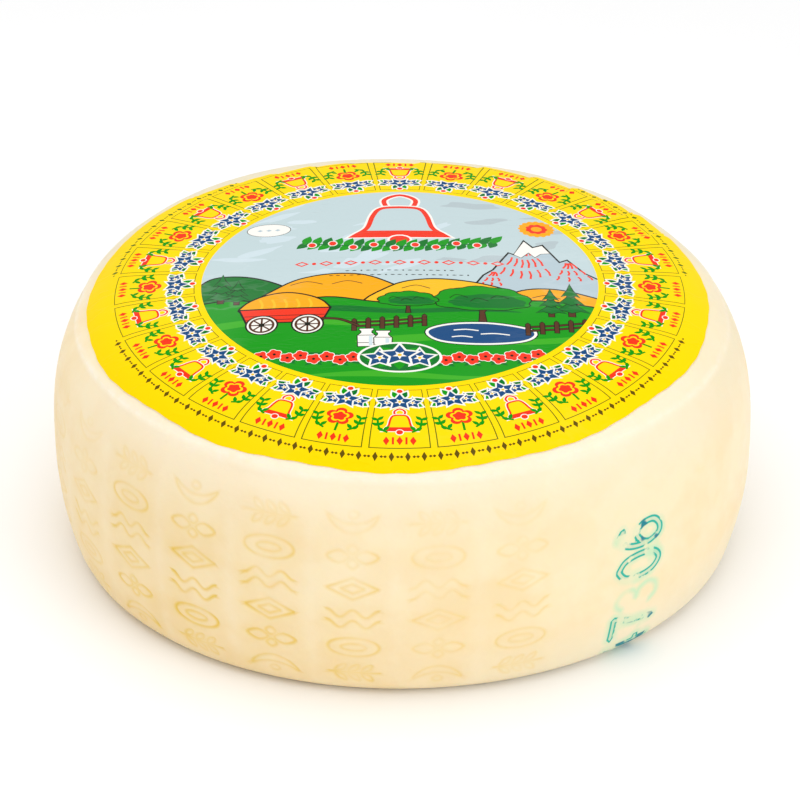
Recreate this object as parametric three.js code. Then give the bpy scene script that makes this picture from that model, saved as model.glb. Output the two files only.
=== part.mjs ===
// A whole wheel of fresh pressed asiago cheese, with the round printed label that lies on its top.
//
// Sizes are in millimetres and +Z is up. The wheel rests on the plane z = 0 and the origin is the
// middle of its footprint. The front of the wheel faces -Y.
//
// The wheel is one body of revolution, warped a little as a soft cheese is when it leaves its hoop.
// The label is a thin sheet that follows the domed top and droops over the start of the shoulder.

import * as THREE from 'three';

// ---- Driving dimensions of the wheel ----

const BELLY_RADIUS = 175; // the widest ring of the bulging side
const BELLY_HEIGHT = 52; // height of that ring above the base
const WHEEL_HEIGHT = 141.5; // middle of the top above the base
const DOME_DROP = 12.2; // how far the dome would fall from its middle to the belly radius
const SHOULDER_START = 131.5; // radius where the top begins to turn down
const SHOULDER_SQUARENESS = 2.8; // exponent of the shoulder's curve, where 2 is an ellipse
const BASE_PULL_IN = 8.7; // how much narrower the side is at the base than at the belly
const BASE_EDGE_ROUND = 11.2; // radius of the rounded bottom edge

// ---- How the wheel departs from a true circle ----

const OVAL = 0.0129; // share of the radius
const OVAL_TURN = THREE.MathUtils.degToRad(-14.4);
const THREE_SIDED = 0.0084; // share of the radius
const THREE_SIDED_TURN = THREE.MathUtils.degToRad(-17.3);
const BACK_RISE = 1.55; // how much higher the top stands above the belly at the back than in the middle

// ---- Driving dimensions of the label ----

const LABEL_RADIUS = 150.4;
const LABEL_THICKNESS = 0.4;
const LABEL_GAP = 0.6; // clearance between the label and the cheese
const LABEL_SHIFT = new THREE.Vector2(-0.4, -7.4); // the label lies off centre, towards the front
const EDGE_LEAN = 3.3; // how far the trimmed edge stands off centre
const EDGE_LEAN_TURN = THREE.MathUtils.degToRad(-107);
const EDGE_OVAL = 4.4; // how far the trimmed edge departs from a circle
const EDGE_THREE_SIDED = 0.7;
const EDGE_THREE_SIDED_TURN = THREE.MathUtils.degToRad(29);
const EDGE_RIPPLE = 0.5; // short waves of the edge
const EDGE_RIPPLES = 11;

// ---- How finely the curves are stepped ----

const TURN_STEPS = 72;
const BASE_EDGE_STEPS = 6;
const SIDE_STEPS = 8;
const SHOULDER_STEPS = 15;
const DOME_STEPS = 7;
const LABEL_STEPS = 12;
const BASE_EDGE_PASSES = 20; // rounds of the search for the top of the bottom edge
const SLOPE_PROBE = 0.05; // half the distance over which a slope is measured

// ---- Outline of the wheel ----

// Radius of the bulging side below the belly.
function sideRadius(height) {
  const depth = (BELLY_HEIGHT - height) / BELLY_HEIGHT;
  return BELLY_RADIUS - BASE_PULL_IN * depth * depth;
}

// Angle by which the side leans in at a height below the belly.
function sideLean(height) {
  return Math.atan((2 * BASE_PULL_IN * (BELLY_HEIGHT - height)) / (BELLY_HEIGHT * BELLY_HEIGHT));
}

// Height at which the rounded bottom edge runs into the side.
function baseEdgeTop() {
  let height = BASE_EDGE_ROUND;
  for (let pass = 0; pass < BASE_EDGE_PASSES; pass += 1) {
    height = BASE_EDGE_ROUND * (1 - Math.sin(sideLean(height)));
  }
  return height;
}

// Height of the top and the shoulder above the base, out to the belly radius.
function topHeight(radius) {
  const dome = DOME_DROP * (radius / BELLY_RADIUS) ** 2;
  const reach = (radius - SHOULDER_START) / (BELLY_RADIUS - SHOULDER_START);
  const across = THREE.MathUtils.clamp(reach, 0, 1);
  const left = (1 - across ** SHOULDER_SQUARENESS) ** (1 / SHOULDER_SQUARENESS);
  return WHEEL_HEIGHT - dome - (WHEEL_HEIGHT - DOME_DROP - BELLY_HEIGHT) * (1 - left);
}

// The outline from the middle of the base, up the side, to the middle of the top.
function wheelOutline() {
  const edgeTop = baseEdgeTop();
  const lean = sideLean(edgeTop);
  const edgeCentre = sideRadius(edgeTop) - BASE_EDGE_ROUND * Math.cos(lean);
  const outline = [new THREE.Vector2(0, 0)];
  for (let step = 0; step < BASE_EDGE_STEPS; step += 1) {
    const angle = THREE.MathUtils.lerp(-Math.PI / 2, -lean, step / BASE_EDGE_STEPS);
    const radius = edgeCentre + BASE_EDGE_ROUND * Math.cos(angle);
    outline.push(new THREE.Vector2(radius, BASE_EDGE_ROUND * (1 + Math.sin(angle))));
  }
  for (let step = 0; step < SIDE_STEPS; step += 1) {
    const height = THREE.MathUtils.lerp(edgeTop, BELLY_HEIGHT, step / SIDE_STEPS);
    outline.push(new THREE.Vector2(sideRadius(height), height));
  }
  for (let step = SHOULDER_STEPS; step > 0; step -= 1) {
    const angle = (Math.PI / 2) * (step / SHOULDER_STEPS);
    const across = Math.sin(angle) ** (2 / SHOULDER_SQUARENESS);
    const radius = THREE.MathUtils.lerp(SHOULDER_START, BELLY_RADIUS, across);
    outline.push(new THREE.Vector2(radius, topHeight(radius)));
  }
  for (let step = DOME_STEPS; step >= 0; step -= 1) {
    const radius = SHOULDER_START * (step / DOME_STEPS);
    outline.push(new THREE.Vector2(radius, topHeight(radius)));
  }
  return outline;
}

// ---- Warping of the round form ----

// Share of a true circle's radius that the wheel has in a direction.
function roundness(turn) {
  const oval = OVAL * Math.cos(2 * (turn - OVAL_TURN));
  const threeSided = THREE_SIDED * Math.cos(3 * (turn - THREE_SIDED_TURN));
  return 1 + oval + threeSided;
}

// The wheel's height at a place is stretched by this much, more at the back than at the front.
function stretch(y) {
  return 1 + (BACK_RISE / WHEEL_HEIGHT) * (y / BELLY_RADIUS);
}

// Stands a geometry that was turned about +Y upright on z = 0 and warps it.
function warp(geometry) {
  geometry.rotateX(Math.PI / 2);
  const place = geometry.attributes.position;
  for (let i = 0; i < place.count; i += 1) {
    const share = roundness(Math.atan2(place.getY(i), place.getX(i)));
    const x = place.getX(i) * share;
    const y = place.getY(i) * share;
    place.setXYZ(i, x, y, place.getZ(i) * stretch(y));
  }
  geometry.computeVertexNormals();
  return geometry;
}

// Height of the warped top under a place.
function surfaceHeight(x, y) {
  const radius = Math.hypot(x, y) / roundness(Math.atan2(y, x));
  return topHeight(radius) * stretch(y);
}

// A point that stands clear of the warped top by lift, measured square to the surface.
function aboveTop(x, y, lift) {
  const slopeX = surfaceHeight(x + SLOPE_PROBE, y) - surfaceHeight(x - SLOPE_PROBE, y);
  const slopeY = surfaceHeight(x, y + SLOPE_PROBE) - surfaceHeight(x, y - SLOPE_PROBE);
  const normal = new THREE.Vector3(-slopeX, -slopeY, 2 * SLOPE_PROBE).normalize();
  return new THREE.Vector3(x, y, surfaceHeight(x, y)).addScaledVector(normal, lift);
}

// ---- The pieces ----

const rindMaterial = new THREE.MeshStandardMaterial({ color: 0xf8ebcb, roughness: 0.5, metalness: 0 });
const labelMaterial = new THREE.MeshStandardMaterial({ color: 0xffe600, roughness: 0.3, metalness: 0 });

function wheel() {
  const geometry = warp(new THREE.LatheGeometry(wheelOutline(), TURN_STEPS));
  const mesh = new THREE.Mesh(geometry, rindMaterial);
  mesh.name = 'cheese_wheel';
  return mesh;
}

// Radius of the label's trimmed edge in a direction from its own middle.
function labelEdge(turn) {
  const lean = EDGE_LEAN * Math.cos(turn - EDGE_LEAN_TURN);
  const oval = EDGE_OVAL * Math.cos(2 * turn);
  const threeSided = EDGE_THREE_SIDED * Math.cos(3 * (turn - EDGE_THREE_SIDED_TURN));
  return LABEL_RADIUS + lean + oval + threeSided + EDGE_RIPPLE * Math.sin(EDGE_RIPPLES * turn);
}

// Share of the label's radius at a step. The steps grow short near the edge, where the shoulder bends.
function labelShare(step) {
  return Math.sin((Math.PI / 2) * (step / LABEL_STEPS));
}

// A flat disc with two faces of like steps, which is then laid on the top.
function label() {
  const outline = [];
  for (let step = 0; step <= LABEL_STEPS; step += 1) {
    outline.push(new THREE.Vector2(labelShare(step), 0));
  }
  for (let step = LABEL_STEPS; step >= 0; step -= 1) {
    outline.push(new THREE.Vector2(labelShare(step), 1));
  }
  const geometry = new THREE.LatheGeometry(outline, TURN_STEPS);
  geometry.rotateX(Math.PI / 2);
  const place = geometry.attributes.position;
  for (let i = 0; i < place.count; i += 1) {
    const turn = Math.atan2(place.getY(i), place.getX(i));
    const x = place.getX(i) * labelEdge(turn) + LABEL_SHIFT.x;
    const y = place.getY(i) * labelEdge(turn) + LABEL_SHIFT.y;
    const lift = LABEL_GAP + LABEL_THICKNESS * place.getZ(i);
    const point = aboveTop(x, y, lift);
    place.setXYZ(i, point.x, point.y, point.z);
  }
  geometry.computeVertexNormals();
  const mesh = new THREE.Mesh(geometry, labelMaterial);
  mesh.name = 'label';
  return mesh;
}

// ---- The cheese, with the middle of its footprint at the origin ----

const cheese = new THREE.Group();
const pieces = new THREE.Group();
pieces.add(wheel(), label());
cheese.add(pieces);

const middle = new THREE.Box3().setFromObject(pieces).getCenter(new THREE.Vector3());
pieces.position.set(-middle.x, -middle.y, 0);

export default cheese;
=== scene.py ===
"""A whole wheel of fresh pressed asiago cheese with the printed film label on its top.

The wheel has marks pressed into its side in columns and a stamp of ink. The label is one thin film,
with a picture of an alpine meadow in the middle and a ring of small badges round it.
Lengths are in metres. The drawing on the label is in millimetres from the label's middle, with
u to the right and v away from the viewer.
"""

import math

import bpy
import numpy as np
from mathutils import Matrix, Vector
from mathutils.geometry import delaunay_2d_cdt


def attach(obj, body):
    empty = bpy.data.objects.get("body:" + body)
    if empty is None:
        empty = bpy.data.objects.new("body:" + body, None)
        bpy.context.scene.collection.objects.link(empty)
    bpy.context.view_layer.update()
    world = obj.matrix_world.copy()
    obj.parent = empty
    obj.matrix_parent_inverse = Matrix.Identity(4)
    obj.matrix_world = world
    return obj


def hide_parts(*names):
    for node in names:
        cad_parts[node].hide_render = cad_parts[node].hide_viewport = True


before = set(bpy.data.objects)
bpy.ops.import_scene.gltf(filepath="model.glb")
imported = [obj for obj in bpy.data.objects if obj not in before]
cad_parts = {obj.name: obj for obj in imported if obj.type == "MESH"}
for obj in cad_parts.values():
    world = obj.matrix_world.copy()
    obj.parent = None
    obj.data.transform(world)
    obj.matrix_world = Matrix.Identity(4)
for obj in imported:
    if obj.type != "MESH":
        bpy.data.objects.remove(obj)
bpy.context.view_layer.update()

bl_info = {
    "name": "Asiago cheese wheel",
    "version": (1, 0, 0),
    "blender": (4, 5, 0),
    "location": "3D View > Sidebar > Cheese",
    "description": "Makes a whole cheese wheel with its printed label, and a studio round it",
    "category": "Add Mesh",
}

MM = 0.001
BODY = "root"


# ---- Sizes and colours ---------------------------------------------------------------------------


def length(name, default, description):
    return bpy.props.FloatProperty(
        name=name, default=default, description=description, unit="LENGTH", precision=5
    )


def angle(name, degrees, description):
    return bpy.props.FloatProperty(
        name=name, default=math.radians(degrees), description=description, subtype="ANGLE"
    )


def share(name, default, description):
    return bpy.props.FloatProperty(name=name, default=default, description=description, precision=4)


def linear(red, green, blue):
    """Linear colour of a colour that is given as 0 to 255 on a screen."""
    levels = np.array((red, green, blue)) / 255
    return tuple(np.where(levels <= 0.04045, levels / 12.92, ((levels + 0.055) / 1.055) ** 2.4))


def colour(name, red, green, blue, description):
    return bpy.props.FloatVectorProperty(
        name=name, default=linear(red, green, blue), description=description,
        subtype="COLOR", size=3, min=0, max=1,
    )


class WheelSizes(bpy.types.PropertyGroup):
    """Form of the wheel, the same as that of the solid that it dresses"""

    belly_radius: length("Belly radius", 0.175, "Radius of the widest ring of the side")
    belly_height: length("Belly height", 0.052, "Height of the widest ring")
    height: length("Height", 0.1415, "Height of the middle of the top")
    dome_drop: length("Dome drop", 0.0122, "Fall of the dome from its middle to the belly radius")
    shoulder_start: length("Shoulder start", 0.1315, "Radius where the top begins to turn down")
    squareness: share("Shoulder squareness", 2.8, "Exponent of the shoulder's curve")
    base_pull_in: length("Base pull-in", 0.0087, "How much narrower the side is at the base")
    base_edge: length("Base edge", 0.0112, "Radius of the rounded bottom edge")
    oval: share("Oval", 0.0129, "Share of the radius by which the wheel is oval")
    oval_turn: angle("Oval turn", -14.4, "Direction of the oval's long axis")
    three_sided: share("Three-sided", 0.0084, "Share of the radius by which it is three-sided")
    three_sided_turn: angle("Three-sided turn", -17.3, "Direction of one of the three bulges")
    back_rise: length("Back rise", 0.00155, "How much higher the top stands at the back")
    unevenness: length("Unevenness", 0.00035, "Depth of the soft dents all over the wheel")
    corner: length("Corner", 0.0011, "How far the shoulder stands out at the back's two corners")
    corner_turn: angle("Corner turn", 42, "Direction of one of the corners")
    ridge_place: length("Ridge place", 0.1284, "Distance of the shoulder's waxy ridge up the side")
    ridge_height: length("Ridge height", 0.001, "Height of the ridge")


class MarkSizes(bpy.types.PropertyGroup):
    """Marks pressed into the side and the stamp"""

    columns: bpy.props.IntProperty(
        name="Columns", default=27, min=3, description="Number of columns that fit round the wheel"
    )
    first: angle("First column", 5.9, "Direction of one column, from the front to the right")
    plain_from: angle("Plain from", 24, "Where the side without marks begins")
    plain_to: angle("Plain to", 78, "Where the side without marks ends")
    bottom: length("Bottom", 0.0217, "Distance of the lowest mark's middle up the side")
    pitch: length("Pitch", 0.0171, "Distance between the middles of two marks of a column")
    depth: length("Depth", 0.00055, "Depth of a mark")
    width: length("Width", 0.0032, "Width of a mark's groove, with its soft edges")
    stamp_turn: angle("Stamp direction", 40.2, "Direction of the ink stamp")
    stamp_bottom: length("Stamp bottom", 0.003, "Distance of the stamp's lowest figure up the side")
    seam_height: length("Seam height", 0.00024, "Height of the soft seam between two columns")


class LabelSizes(bpy.types.PropertyGroup):
    """The film label and its print"""

    radius: length("Radius", 0.1504, "Radius of the trimmed film")
    shift: bpy.props.FloatVectorProperty(
        name="Shift", default=(-0.0004, -0.0074), size=2, unit="LENGTH",
        description="How far the label lies from the middle of the wheel",
    )
    edge_lean: length("Edge lean", 0.0033, "How far the trimmed edge stands off the print's middle")
    edge_lean_turn: angle("Edge lean turn", -107, "Direction in which the edge stands off")
    edge_oval: length("Edge oval", 0.0044, "How far the edge is oval")
    edge_three_sided: length("Edge three-sided", 0.0007, "How far the edge is three-sided")
    edge_turn: angle("Edge turn", 29, "Direction of one of the edge's three bulges")
    edge_ripple: length("Edge ripple", 0.0005, "Height of the edge's short waves")
    ripples: bpy.props.IntProperty(
        name="Ripples", default=11, min=1, description="Number of the edge's short waves"
    )
    lift: length("Lift", 0.0002, "How far the film's underside lies off the rind")
    thickness: length("Thickness", 0.0001, "Thickness of the film")
    picture_radius: length("Picture radius", 0.0985, "Radius of the picture in the middle")
    cell_inner: length("Cell inner radius", 0.1018, "Inner radius of the badges' frames")
    cell_outer: length("Cell outer radius", 0.1416, "Outer radius of the badges' frames")
    cells: bpy.props.IntProperty(
        name="Badges", default=28, min=4, step=2, description="Number of badges in the ring, an even one"
    )


class RindColours(bpy.types.PropertyGroup):
    """Colours of the cheese"""

    body: colour("Body", 252, 232, 194, "Cream of the side")
    # Pale is a painted highlight: the paler cream of the shoulder in front, where the light falls.
    pale: colour("Pale", 248, 235, 212, "Bright waxy shoulder")
    deep: colour("Deep", 243, 216, 164, "Yellower cream low on the side")
    # Rim is a painted shade: the duller cream of the shoulder at the back and at the right, which is turned
    # away from the light.
    rim: colour("Rim", 227, 218, 187, "Duller cream of the shoulder at the back")
    foot: colour("Foot", 243, 233, 206, "Greyer cream of the foot at the right")
    wax: colour("Wax", 255, 242, 222, "Whitish wax of the shoulder's ridge")
    mark: colour("Mark", 236, 198, 60, "Ochre at the bottom of the pressed marks")
    ink: colour("Ink", 0, 178, 158, "Food ink of the stamp")
    blot: colour("Ink blot", 0, 130, 144, "Thick ink")
    bleed: colour("Ink bleed", 200, 230, 190, "Pale halo of the ink")


class PrintColours(bpy.types.PropertyGroup):
    """Inks of the label"""

    yellow: colour("Yellow", 255, 213, 0, "Ground of the ring")
    sky: colour("Sky", 188, 206, 209, "Sky of the picture")
    cloud: colour("Cloud", 200, 216, 222, "Clouds")
    haze: colour("Haze", 176, 190, 194, "Greyer streaks of the sky")
    rock: colour("Rock", 176, 194, 202, "Mountains")
    white: colour("White", 240, 238, 231, "White")
    line: colour("Line", 12, 16, 0, "Outlines of the picture")
    hair: colour("Hairline", 92, 112, 10, "Fine lines on the yellow")
    sepia: colour("Sepia", 96, 78, 10, "Border near the edge")
    ochre: colour("Ochre", 242, 166, 4, "Hills and hay")
    straw: colour("Straw", 244, 186, 30, "Sunlit hay and grass")
    green: colour("Green", 10, 147, 10, "Meadow")
    grass: colour("Grass", 58, 168, 28, "Mown strips")
    forest: colour("Forest", 0, 112, 34, "Trees")
    brown: colour("Brown", 84, 46, 24, "Wood")
    red: colour("Red", 234, 52, 24, "Red")
    blue: colour("Blue", 22, 72, 122, "Blue")


INKS = ("yellow", "sky", "cloud", "haze", "rock", "white", "line", "hair", "sepia", "ochre",
        "straw", "green", "grass", "forest", "brown", "red", "blue")


class StudioSettings(bpy.types.PropertyGroup):
    """Camera and light"""

    distance: length("Camera distance", 1.4583, "Distance from the middle of the top")
    elevation: angle("Camera elevation", 27.96, "Angle of the camera above the top's middle")
    tilt: angle("Camera tilt", 30.51, "Angle by which the camera looks down")
    aim: bpy.props.FloatVectorProperty(
        name="Camera aim", default=(-0.0012, -0.0012, 0.1414), size=3, unit="LENGTH",
        description="Point that the distance and elevation are measured from",
    )
    lens: bpy.props.FloatProperty(name="Lens", default=131.5, description="Focal length", unit="CAMERA")
    room: share("Room light", 0.77, "Strength of the even light of the white room")
    overhead: bpy.props.FloatProperty(
        name="Overhead light", default=9.3, unit="POWER", description="Power of the large soft light"
    )
    side: bpy.props.FloatProperty(
        name="Side light", default=4.6, unit="POWER", description="Power of the soft light at the right"
    )


# ---- Form of the wheel ---------------------------------------------------------------------------


def side_radius(wheel, height):
    """Radius of the bulging side below the belly."""
    return wheel.belly_radius - wheel.base_pull_in * ((wheel.belly_height - height) / wheel.belly_height) ** 2


def side_lean(wheel, height):
    """Angle by which the side leans in at a height below the belly."""
    return math.atan(2 * wheel.base_pull_in * (wheel.belly_height - height) / wheel.belly_height**2)


def top_height(wheel, radius):
    """Height of the top and the shoulder above the base, out to the belly radius."""
    dome = wheel.dome_drop * (radius / wheel.belly_radius) ** 2
    across = np.clip((radius - wheel.shoulder_start) / (wheel.belly_radius - wheel.shoulder_start), 0, 1)
    left = (1 - across**wheel.squareness) ** (1 / wheel.squareness)
    return wheel.height - dome - (wheel.height - wheel.dome_drop - wheel.belly_height) * (1 - left)


def roundness(wheel, turn):
    """Share of a true circle's radius that the wheel has in a direction."""
    oval = wheel.oval * np.cos(2 * (turn - wheel.oval_turn))
    return 1 + oval + wheel.three_sided * np.cos(3 * (turn - wheel.three_sided_turn))


def stretch(wheel, y):
    """Factor of the wheel's height at a place, larger at the back than at the front."""
    return 1 + (wheel.back_rise / wheel.height) * (y / wheel.belly_radius)


def stand(wheel, radius, height, turn):
    """Points of the warped wheel, from the place on its outline and the direction."""
    across = radius * roundness(wheel, turn)
    x, y = across * np.cos(turn), across * np.sin(turn)
    return np.stack((x, y, height * stretch(wheel, y)), axis=-1)


def middle(wheel):
    """Middle of the warped wheel's footprint, before it is moved to the origin."""
    turn = np.linspace(0, 2 * np.pi, 721)
    ring = stand(wheel, wheel.belly_radius, wheel.belly_height, turn)
    return (ring.min(axis=0) + ring.max(axis=0)) / 2 * (1, 1, 0)


def surface_height(wheel, x, y):
    """Height of the warped top over a place."""
    return top_height(wheel, np.hypot(x, y) / roundness(wheel, np.arctan2(y, x))) * stretch(wheel, y)


def top_surface(wheel, x, y):
    """Points of the warped top over places, and the surface's direction there."""
    probe = 5e-5
    slope_x = surface_height(wheel, x + probe, y) - surface_height(wheel, x - probe, y)
    slope_y = surface_height(wheel, x, y + probe) - surface_height(wheel, x, y - probe)
    normals = np.stack((-slope_x, -slope_y, np.full_like(x, 2 * probe)), axis=-1)
    return np.stack((x, y, surface_height(wheel, x, y)), axis=-1), unit(normals)


def unit(vectors):
    return vectors / np.linalg.norm(vectors, axis=-1, keepdims=True)


DENT_WAVES = (  # share of the whole, and two crossed waves: radians per metre along x, y, z, and start
    (0.6, (26, 0, 17, 1.1), (0, 23, -21, 0.4)),
    (0.3, (61, -33, 0, 2.0), (0, 47, 52, 0.9)),
    (0.1, (131, 90, 0, 0.0), (0, -97, 118, 0.6)),
)


def dents(wheel, points):
    """How far the soft cheese stands out or in at points, along its surface's direction."""
    total = sum(part * np.sin(points @ one[:3] + one[3]) * np.sin(points @ other[:3] + other[3])
                for part, one, other in DENT_WAVES)
    return wheel.unevenness * total + corners(wheel, *np.moveaxis(points, -1, 0))


def corners(wheel, x, y, z):
    """How far the shoulder stands out at the back's corners, and in between them."""
    at_back = smooth_step(y, -0.03, 0.015)
    outside = smooth_step(np.hypot(x, y), 0.139, 0.152)
    high = smooth_step(z, 0.06, 0.095)
    return wheel.corner * np.cos(4 * (np.arctan2(y, x) - wheel.corner_turn)) * at_back * outside * high


def smooth_step(value, low, high):
    """From 0 at low to 1 at high."""
    t = np.clip((value - low) / (high - low), 0, 1)
    return t * t * (3 - 2 * t)


def side_outline(wheel, inner_radius):
    """The outline from the flat base, up the side and over the shoulder to a radius on the top.

    Gives the distance along it, the radius and the height, as tables that are read in between.
    """
    edge_top = wheel.base_edge
    passes = 20
    for _ in range(passes):
        edge_top = wheel.base_edge * (1 - math.sin(side_lean(wheel, edge_top)))
    lean = side_lean(wheel, edge_top)
    edge_centre = side_radius(wheel, edge_top) - wheel.base_edge * math.cos(lean)
    bend = np.linspace(-math.pi / 2, -lean, 40, endpoint=False)
    side = np.linspace(edge_top, wheel.belly_height, 60, endpoint=False)
    across = np.sin(np.linspace(math.pi / 2, 0, 240, endpoint=False)) ** (2 / wheel.squareness)
    shoulder = wheel.shoulder_start + (wheel.belly_radius - wheel.shoulder_start) * across
    top = np.concatenate((shoulder, np.linspace(wheel.shoulder_start, inner_radius, 12)))
    radius = np.concatenate((edge_centre + wheel.base_edge * np.cos(bend), side_radius(wheel, side), top))
    height = np.concatenate((wheel.base_edge * (1 + np.sin(bend)), side, top_height(wheel, top)))
    run = np.concatenate(([0], np.cumsum(np.hypot(np.diff(radius), np.diff(height)))))
    return run, radius, height


# ---- Meshes --------------------------------------------------------------------------------------


def make_object(name, points, faces, material, smooth=True):
    """A mesh object at the origin, with its points in the shared frame."""
    mesh = bpy.data.meshes.new(name)
    mesh.from_pydata(np.asarray(points).tolist(), [], [tuple(face) for face in faces])
    mesh.materials.append(material)
    if smooth:
        mesh.shade_smooth()
    piece = bpy.data.objects.new(name, mesh)
    bpy.context.collection.objects.link(piece)
    return piece


def set_values(mesh, name, values):
    """Gives each vertex a number that the material reads."""
    layer = mesh.attributes.new(name, "FLOAT", "POINT")
    layer.data.foreach_set("value", np.asarray(values, dtype=np.float32))


def grid_points(low, high, spacing):
    """Places of a honeycomb grid inside a rectangle."""
    row_gap = spacing * math.sqrt(3) / 2
    rows = []
    for row in range(int((high[1] - low[1]) / row_gap) + 1):
        along = np.arange(low[0] + (spacing / 2) * (row % 2), high[0], spacing)
        rows.append(np.stack((along, np.full_like(along, low[1] + row * row_gap)), axis=-1))
    return np.vstack(rows)


def thinned(groups, gaps):
    """Points of all groups, without those that lie nearer than the group's gap to one already kept."""
    cell = max(gaps)
    kept = []
    near = {}
    around = [(i, j) for i in (-1, 0, 1) for j in (-1, 0, 1)]
    for points, gap in zip(groups, gaps):
        limit = gap * gap
        for x, y in points.tolist():
            column, row = int(x // cell), int(y // cell)
            others = [place for i, j in around for place in near.get((column + i, row + j), ())]
            if all((a - x) ** 2 + (b - y) ** 2 >= limit for a, b in others):
                near.setdefault((column, row), []).append((x, y))
                kept.append((x, y))
    return np.array(kept)


def triangulate(points, edges=()):
    """Triangles between points in a plane, with the edges kept."""
    vectors = [Vector(point) for point in np.asarray(points).tolist()]
    result = delaunay_2d_cdt(vectors, list(edges), [], 0, 1e-6, False)
    return np.array([tuple(v) for v in result[0]]), np.array(result[2])


def bridge(outer, inner):
    """Faces between two rings of vertices. The inner ring has as many, or half as many."""
    count = len(outer)
    if len(inner) == count:
        return list(zip(outer, outer[1:] + outer[:1], inner[1:] + inner[:1], inner))
    faces = []
    for i in range(0, count, 2):
        here, there = inner[i // 2], inner[(i // 2 + 1) % len(inner)]
        faces.append((outer[i], outer[i + 1], here))
        faces.append((outer[i + 1], there, here))
        faces.append((outer[i + 1], outer[(i + 2) % count], there))
    return faces


# ---- Node trees and repeats ----------------------------------------------------------------------


class Graph:
    """Short words for building a node tree."""

    def __init__(self, tree):
        self.tree = tree

    def node(self, kind, settings=None, **inputs):
        """A new node. Inputs go by name, or as at0, at1 and so on by number."""
        made = self.tree.nodes.new(kind)
        for key, value in (settings or {}).items():
            setattr(made, key, value)
        for key, value in inputs.items():
            at = int(key[2:]) if key.startswith("at") else key.replace("_", " ")
            self.set(made.inputs[at], value)
        return made

    def set(self, socket, value):
        """Links another node's socket to a socket, or sets its value."""
        if isinstance(value, bpy.types.NodeSocket):
            self.tree.links.new(value, socket)
        else:
            socket.default_value = value

    def math(self, operation, a, b=0.0, c=0.0, clamp=False):
        settings = {"operation": operation, "use_clamp": clamp}
        return self.node("ShaderNodeMath", settings, at0=a, at1=b, at2=c).outputs[0]

    def times(self, a, b):
        return self.math("MULTIPLY", a, b)

    def noise(self, scale, detail=2.0, rough=0.5, place=None):
        """Soft noise in the object's own space, unless another place is given."""
        at = self.place() if place is None else place
        made = self.node("ShaderNodeTexNoise", Vector=at, Scale=scale, Detail=detail, Roughness=rough)
        return made.outputs["Fac"]

    def between(self, value, low, high, start=0.0, end=1.0):
        """Goes smoothly from start to end as a value goes from low to high."""
        settings = {"interpolation_type": "SMOOTHSTEP", "clamp": True}
        return self.node("ShaderNodeMapRange", settings, Value=value, From_Min=low, From_Max=high,
                         To_Min=start, To_Max=end).outputs[0]

    def mix(self, factor, a, b):
        """A mix of two colours, each a socket or a red, green and blue."""
        made = self.node("ShaderNodeMix", {"data_type": "RGBA"}, at0=factor)
        for socket, tone in ((made.inputs[6], a), (made.inputs[7], b)):
            self.set(socket, tone if isinstance(tone, bpy.types.NodeSocket) else (*tone, 1.0))
        return made.outputs[2]

    def attribute(self, name, output="Fac"):
        return self.node("ShaderNodeAttribute", {"attribute_name": name}).outputs[output]

    def place(self):
        return self.node("ShaderNodeTexCoord").outputs["Object"]

    def group(self, tree, **inputs):
        return self.node("ShaderNodeGroup", {"node_tree": tree}, **inputs).outputs

    def bump(self, strength, distance, height):
        return self.node("ShaderNodeBump", Strength=strength, Distance=distance, Height=height).outputs[0]


def repeat_tree():
    """Geometry Nodes that repeat a motif, with a step and a turn from each copy to the next."""
    tree = bpy.data.node_groups.new("repeat_motif", "GeometryNodeTree")
    names = {}
    for name, kind in (("Geometry", "Geometry"), ("Motif", "Object"), ("Count", "Int"),
                       ("Step", "Vector"), ("Turn", "Float"), ("Material", "Material")):
        socket = tree.interface.new_socket(name, in_out="INPUT", socket_type="NodeSocket" + kind)
        names[name] = socket.identifier
    tree.interface.new_socket("Geometry", in_out="OUTPUT", socket_type="NodeSocketGeometry")
    g = Graph(tree)
    given = g.node("NodeGroupInput").outputs
    line = g.node("GeometryNodeMeshLine", Count=given["Count"], Offset=given["Step"])
    motif = g.node("GeometryNodeObjectInfo", Object=given["Motif"])
    turn = g.times(g.node("GeometryNodeInputIndex").outputs[0], given["Turn"])
    euler = g.node("ShaderNodeCombineXYZ", Z=turn)
    rotation = g.node("FunctionNodeEulerToRotation", at0=euler.outputs[0])
    copies = g.node("GeometryNodeInstanceOnPoints", Points=line.outputs[0],
                    Instance=motif.outputs["Geometry"], Rotation=rotation.outputs[0])
    realized = g.node("GeometryNodeRealizeInstances", Geometry=copies.outputs[0])
    dressed = g.node("GeometryNodeSetMaterial", Geometry=realized.outputs[0], Material=given["Material"])
    g.node("NodeGroupOutput", at0=dressed.outputs[0])
    return tree, names


def repeated(motif_mesh, count, step, turn, material=None):
    """The plain mesh of a motif that is repeated by Geometry Nodes."""
    tree, names = repeat_tree()
    collection = bpy.context.scene.collection
    motif = bpy.data.objects.new("motif", motif_mesh)
    holder = bpy.data.objects.new("repeats", bpy.data.meshes.new("repeats"))
    collection.objects.link(motif)
    collection.objects.link(holder)
    modifier = holder.modifiers.new("repeat", "NODES")
    modifier.node_group = tree
    given = {"Motif": motif, "Count": count, "Step": step, "Turn": turn, "Material": material}
    for name, value in given.items():
        modifier[names[name]] = value
    depsgraph = bpy.context.evaluated_depsgraph_get()
    mesh = bpy.data.meshes.new_from_object(holder.evaluated_get(depsgraph), depsgraph=depsgraph)
    for helper in (holder, motif):
        bpy.data.objects.remove(helper)
    bpy.data.node_groups.remove(tree)
    return mesh


# ---- Outlines in a plane -------------------------------------------------------------------------


def polar(reach, around, flat=1.0):
    """Places round 0, from their reach and direction."""
    return np.stack((reach * np.cos(around), flat * reach * np.sin(around)), axis=-1)


def ellipse(u, v, half_width, half_height, count=24):
    around = np.linspace(0, 2 * np.pi, count, endpoint=False)
    return polar(1.0, around) * (half_width, half_height) + (u, v)


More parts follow.
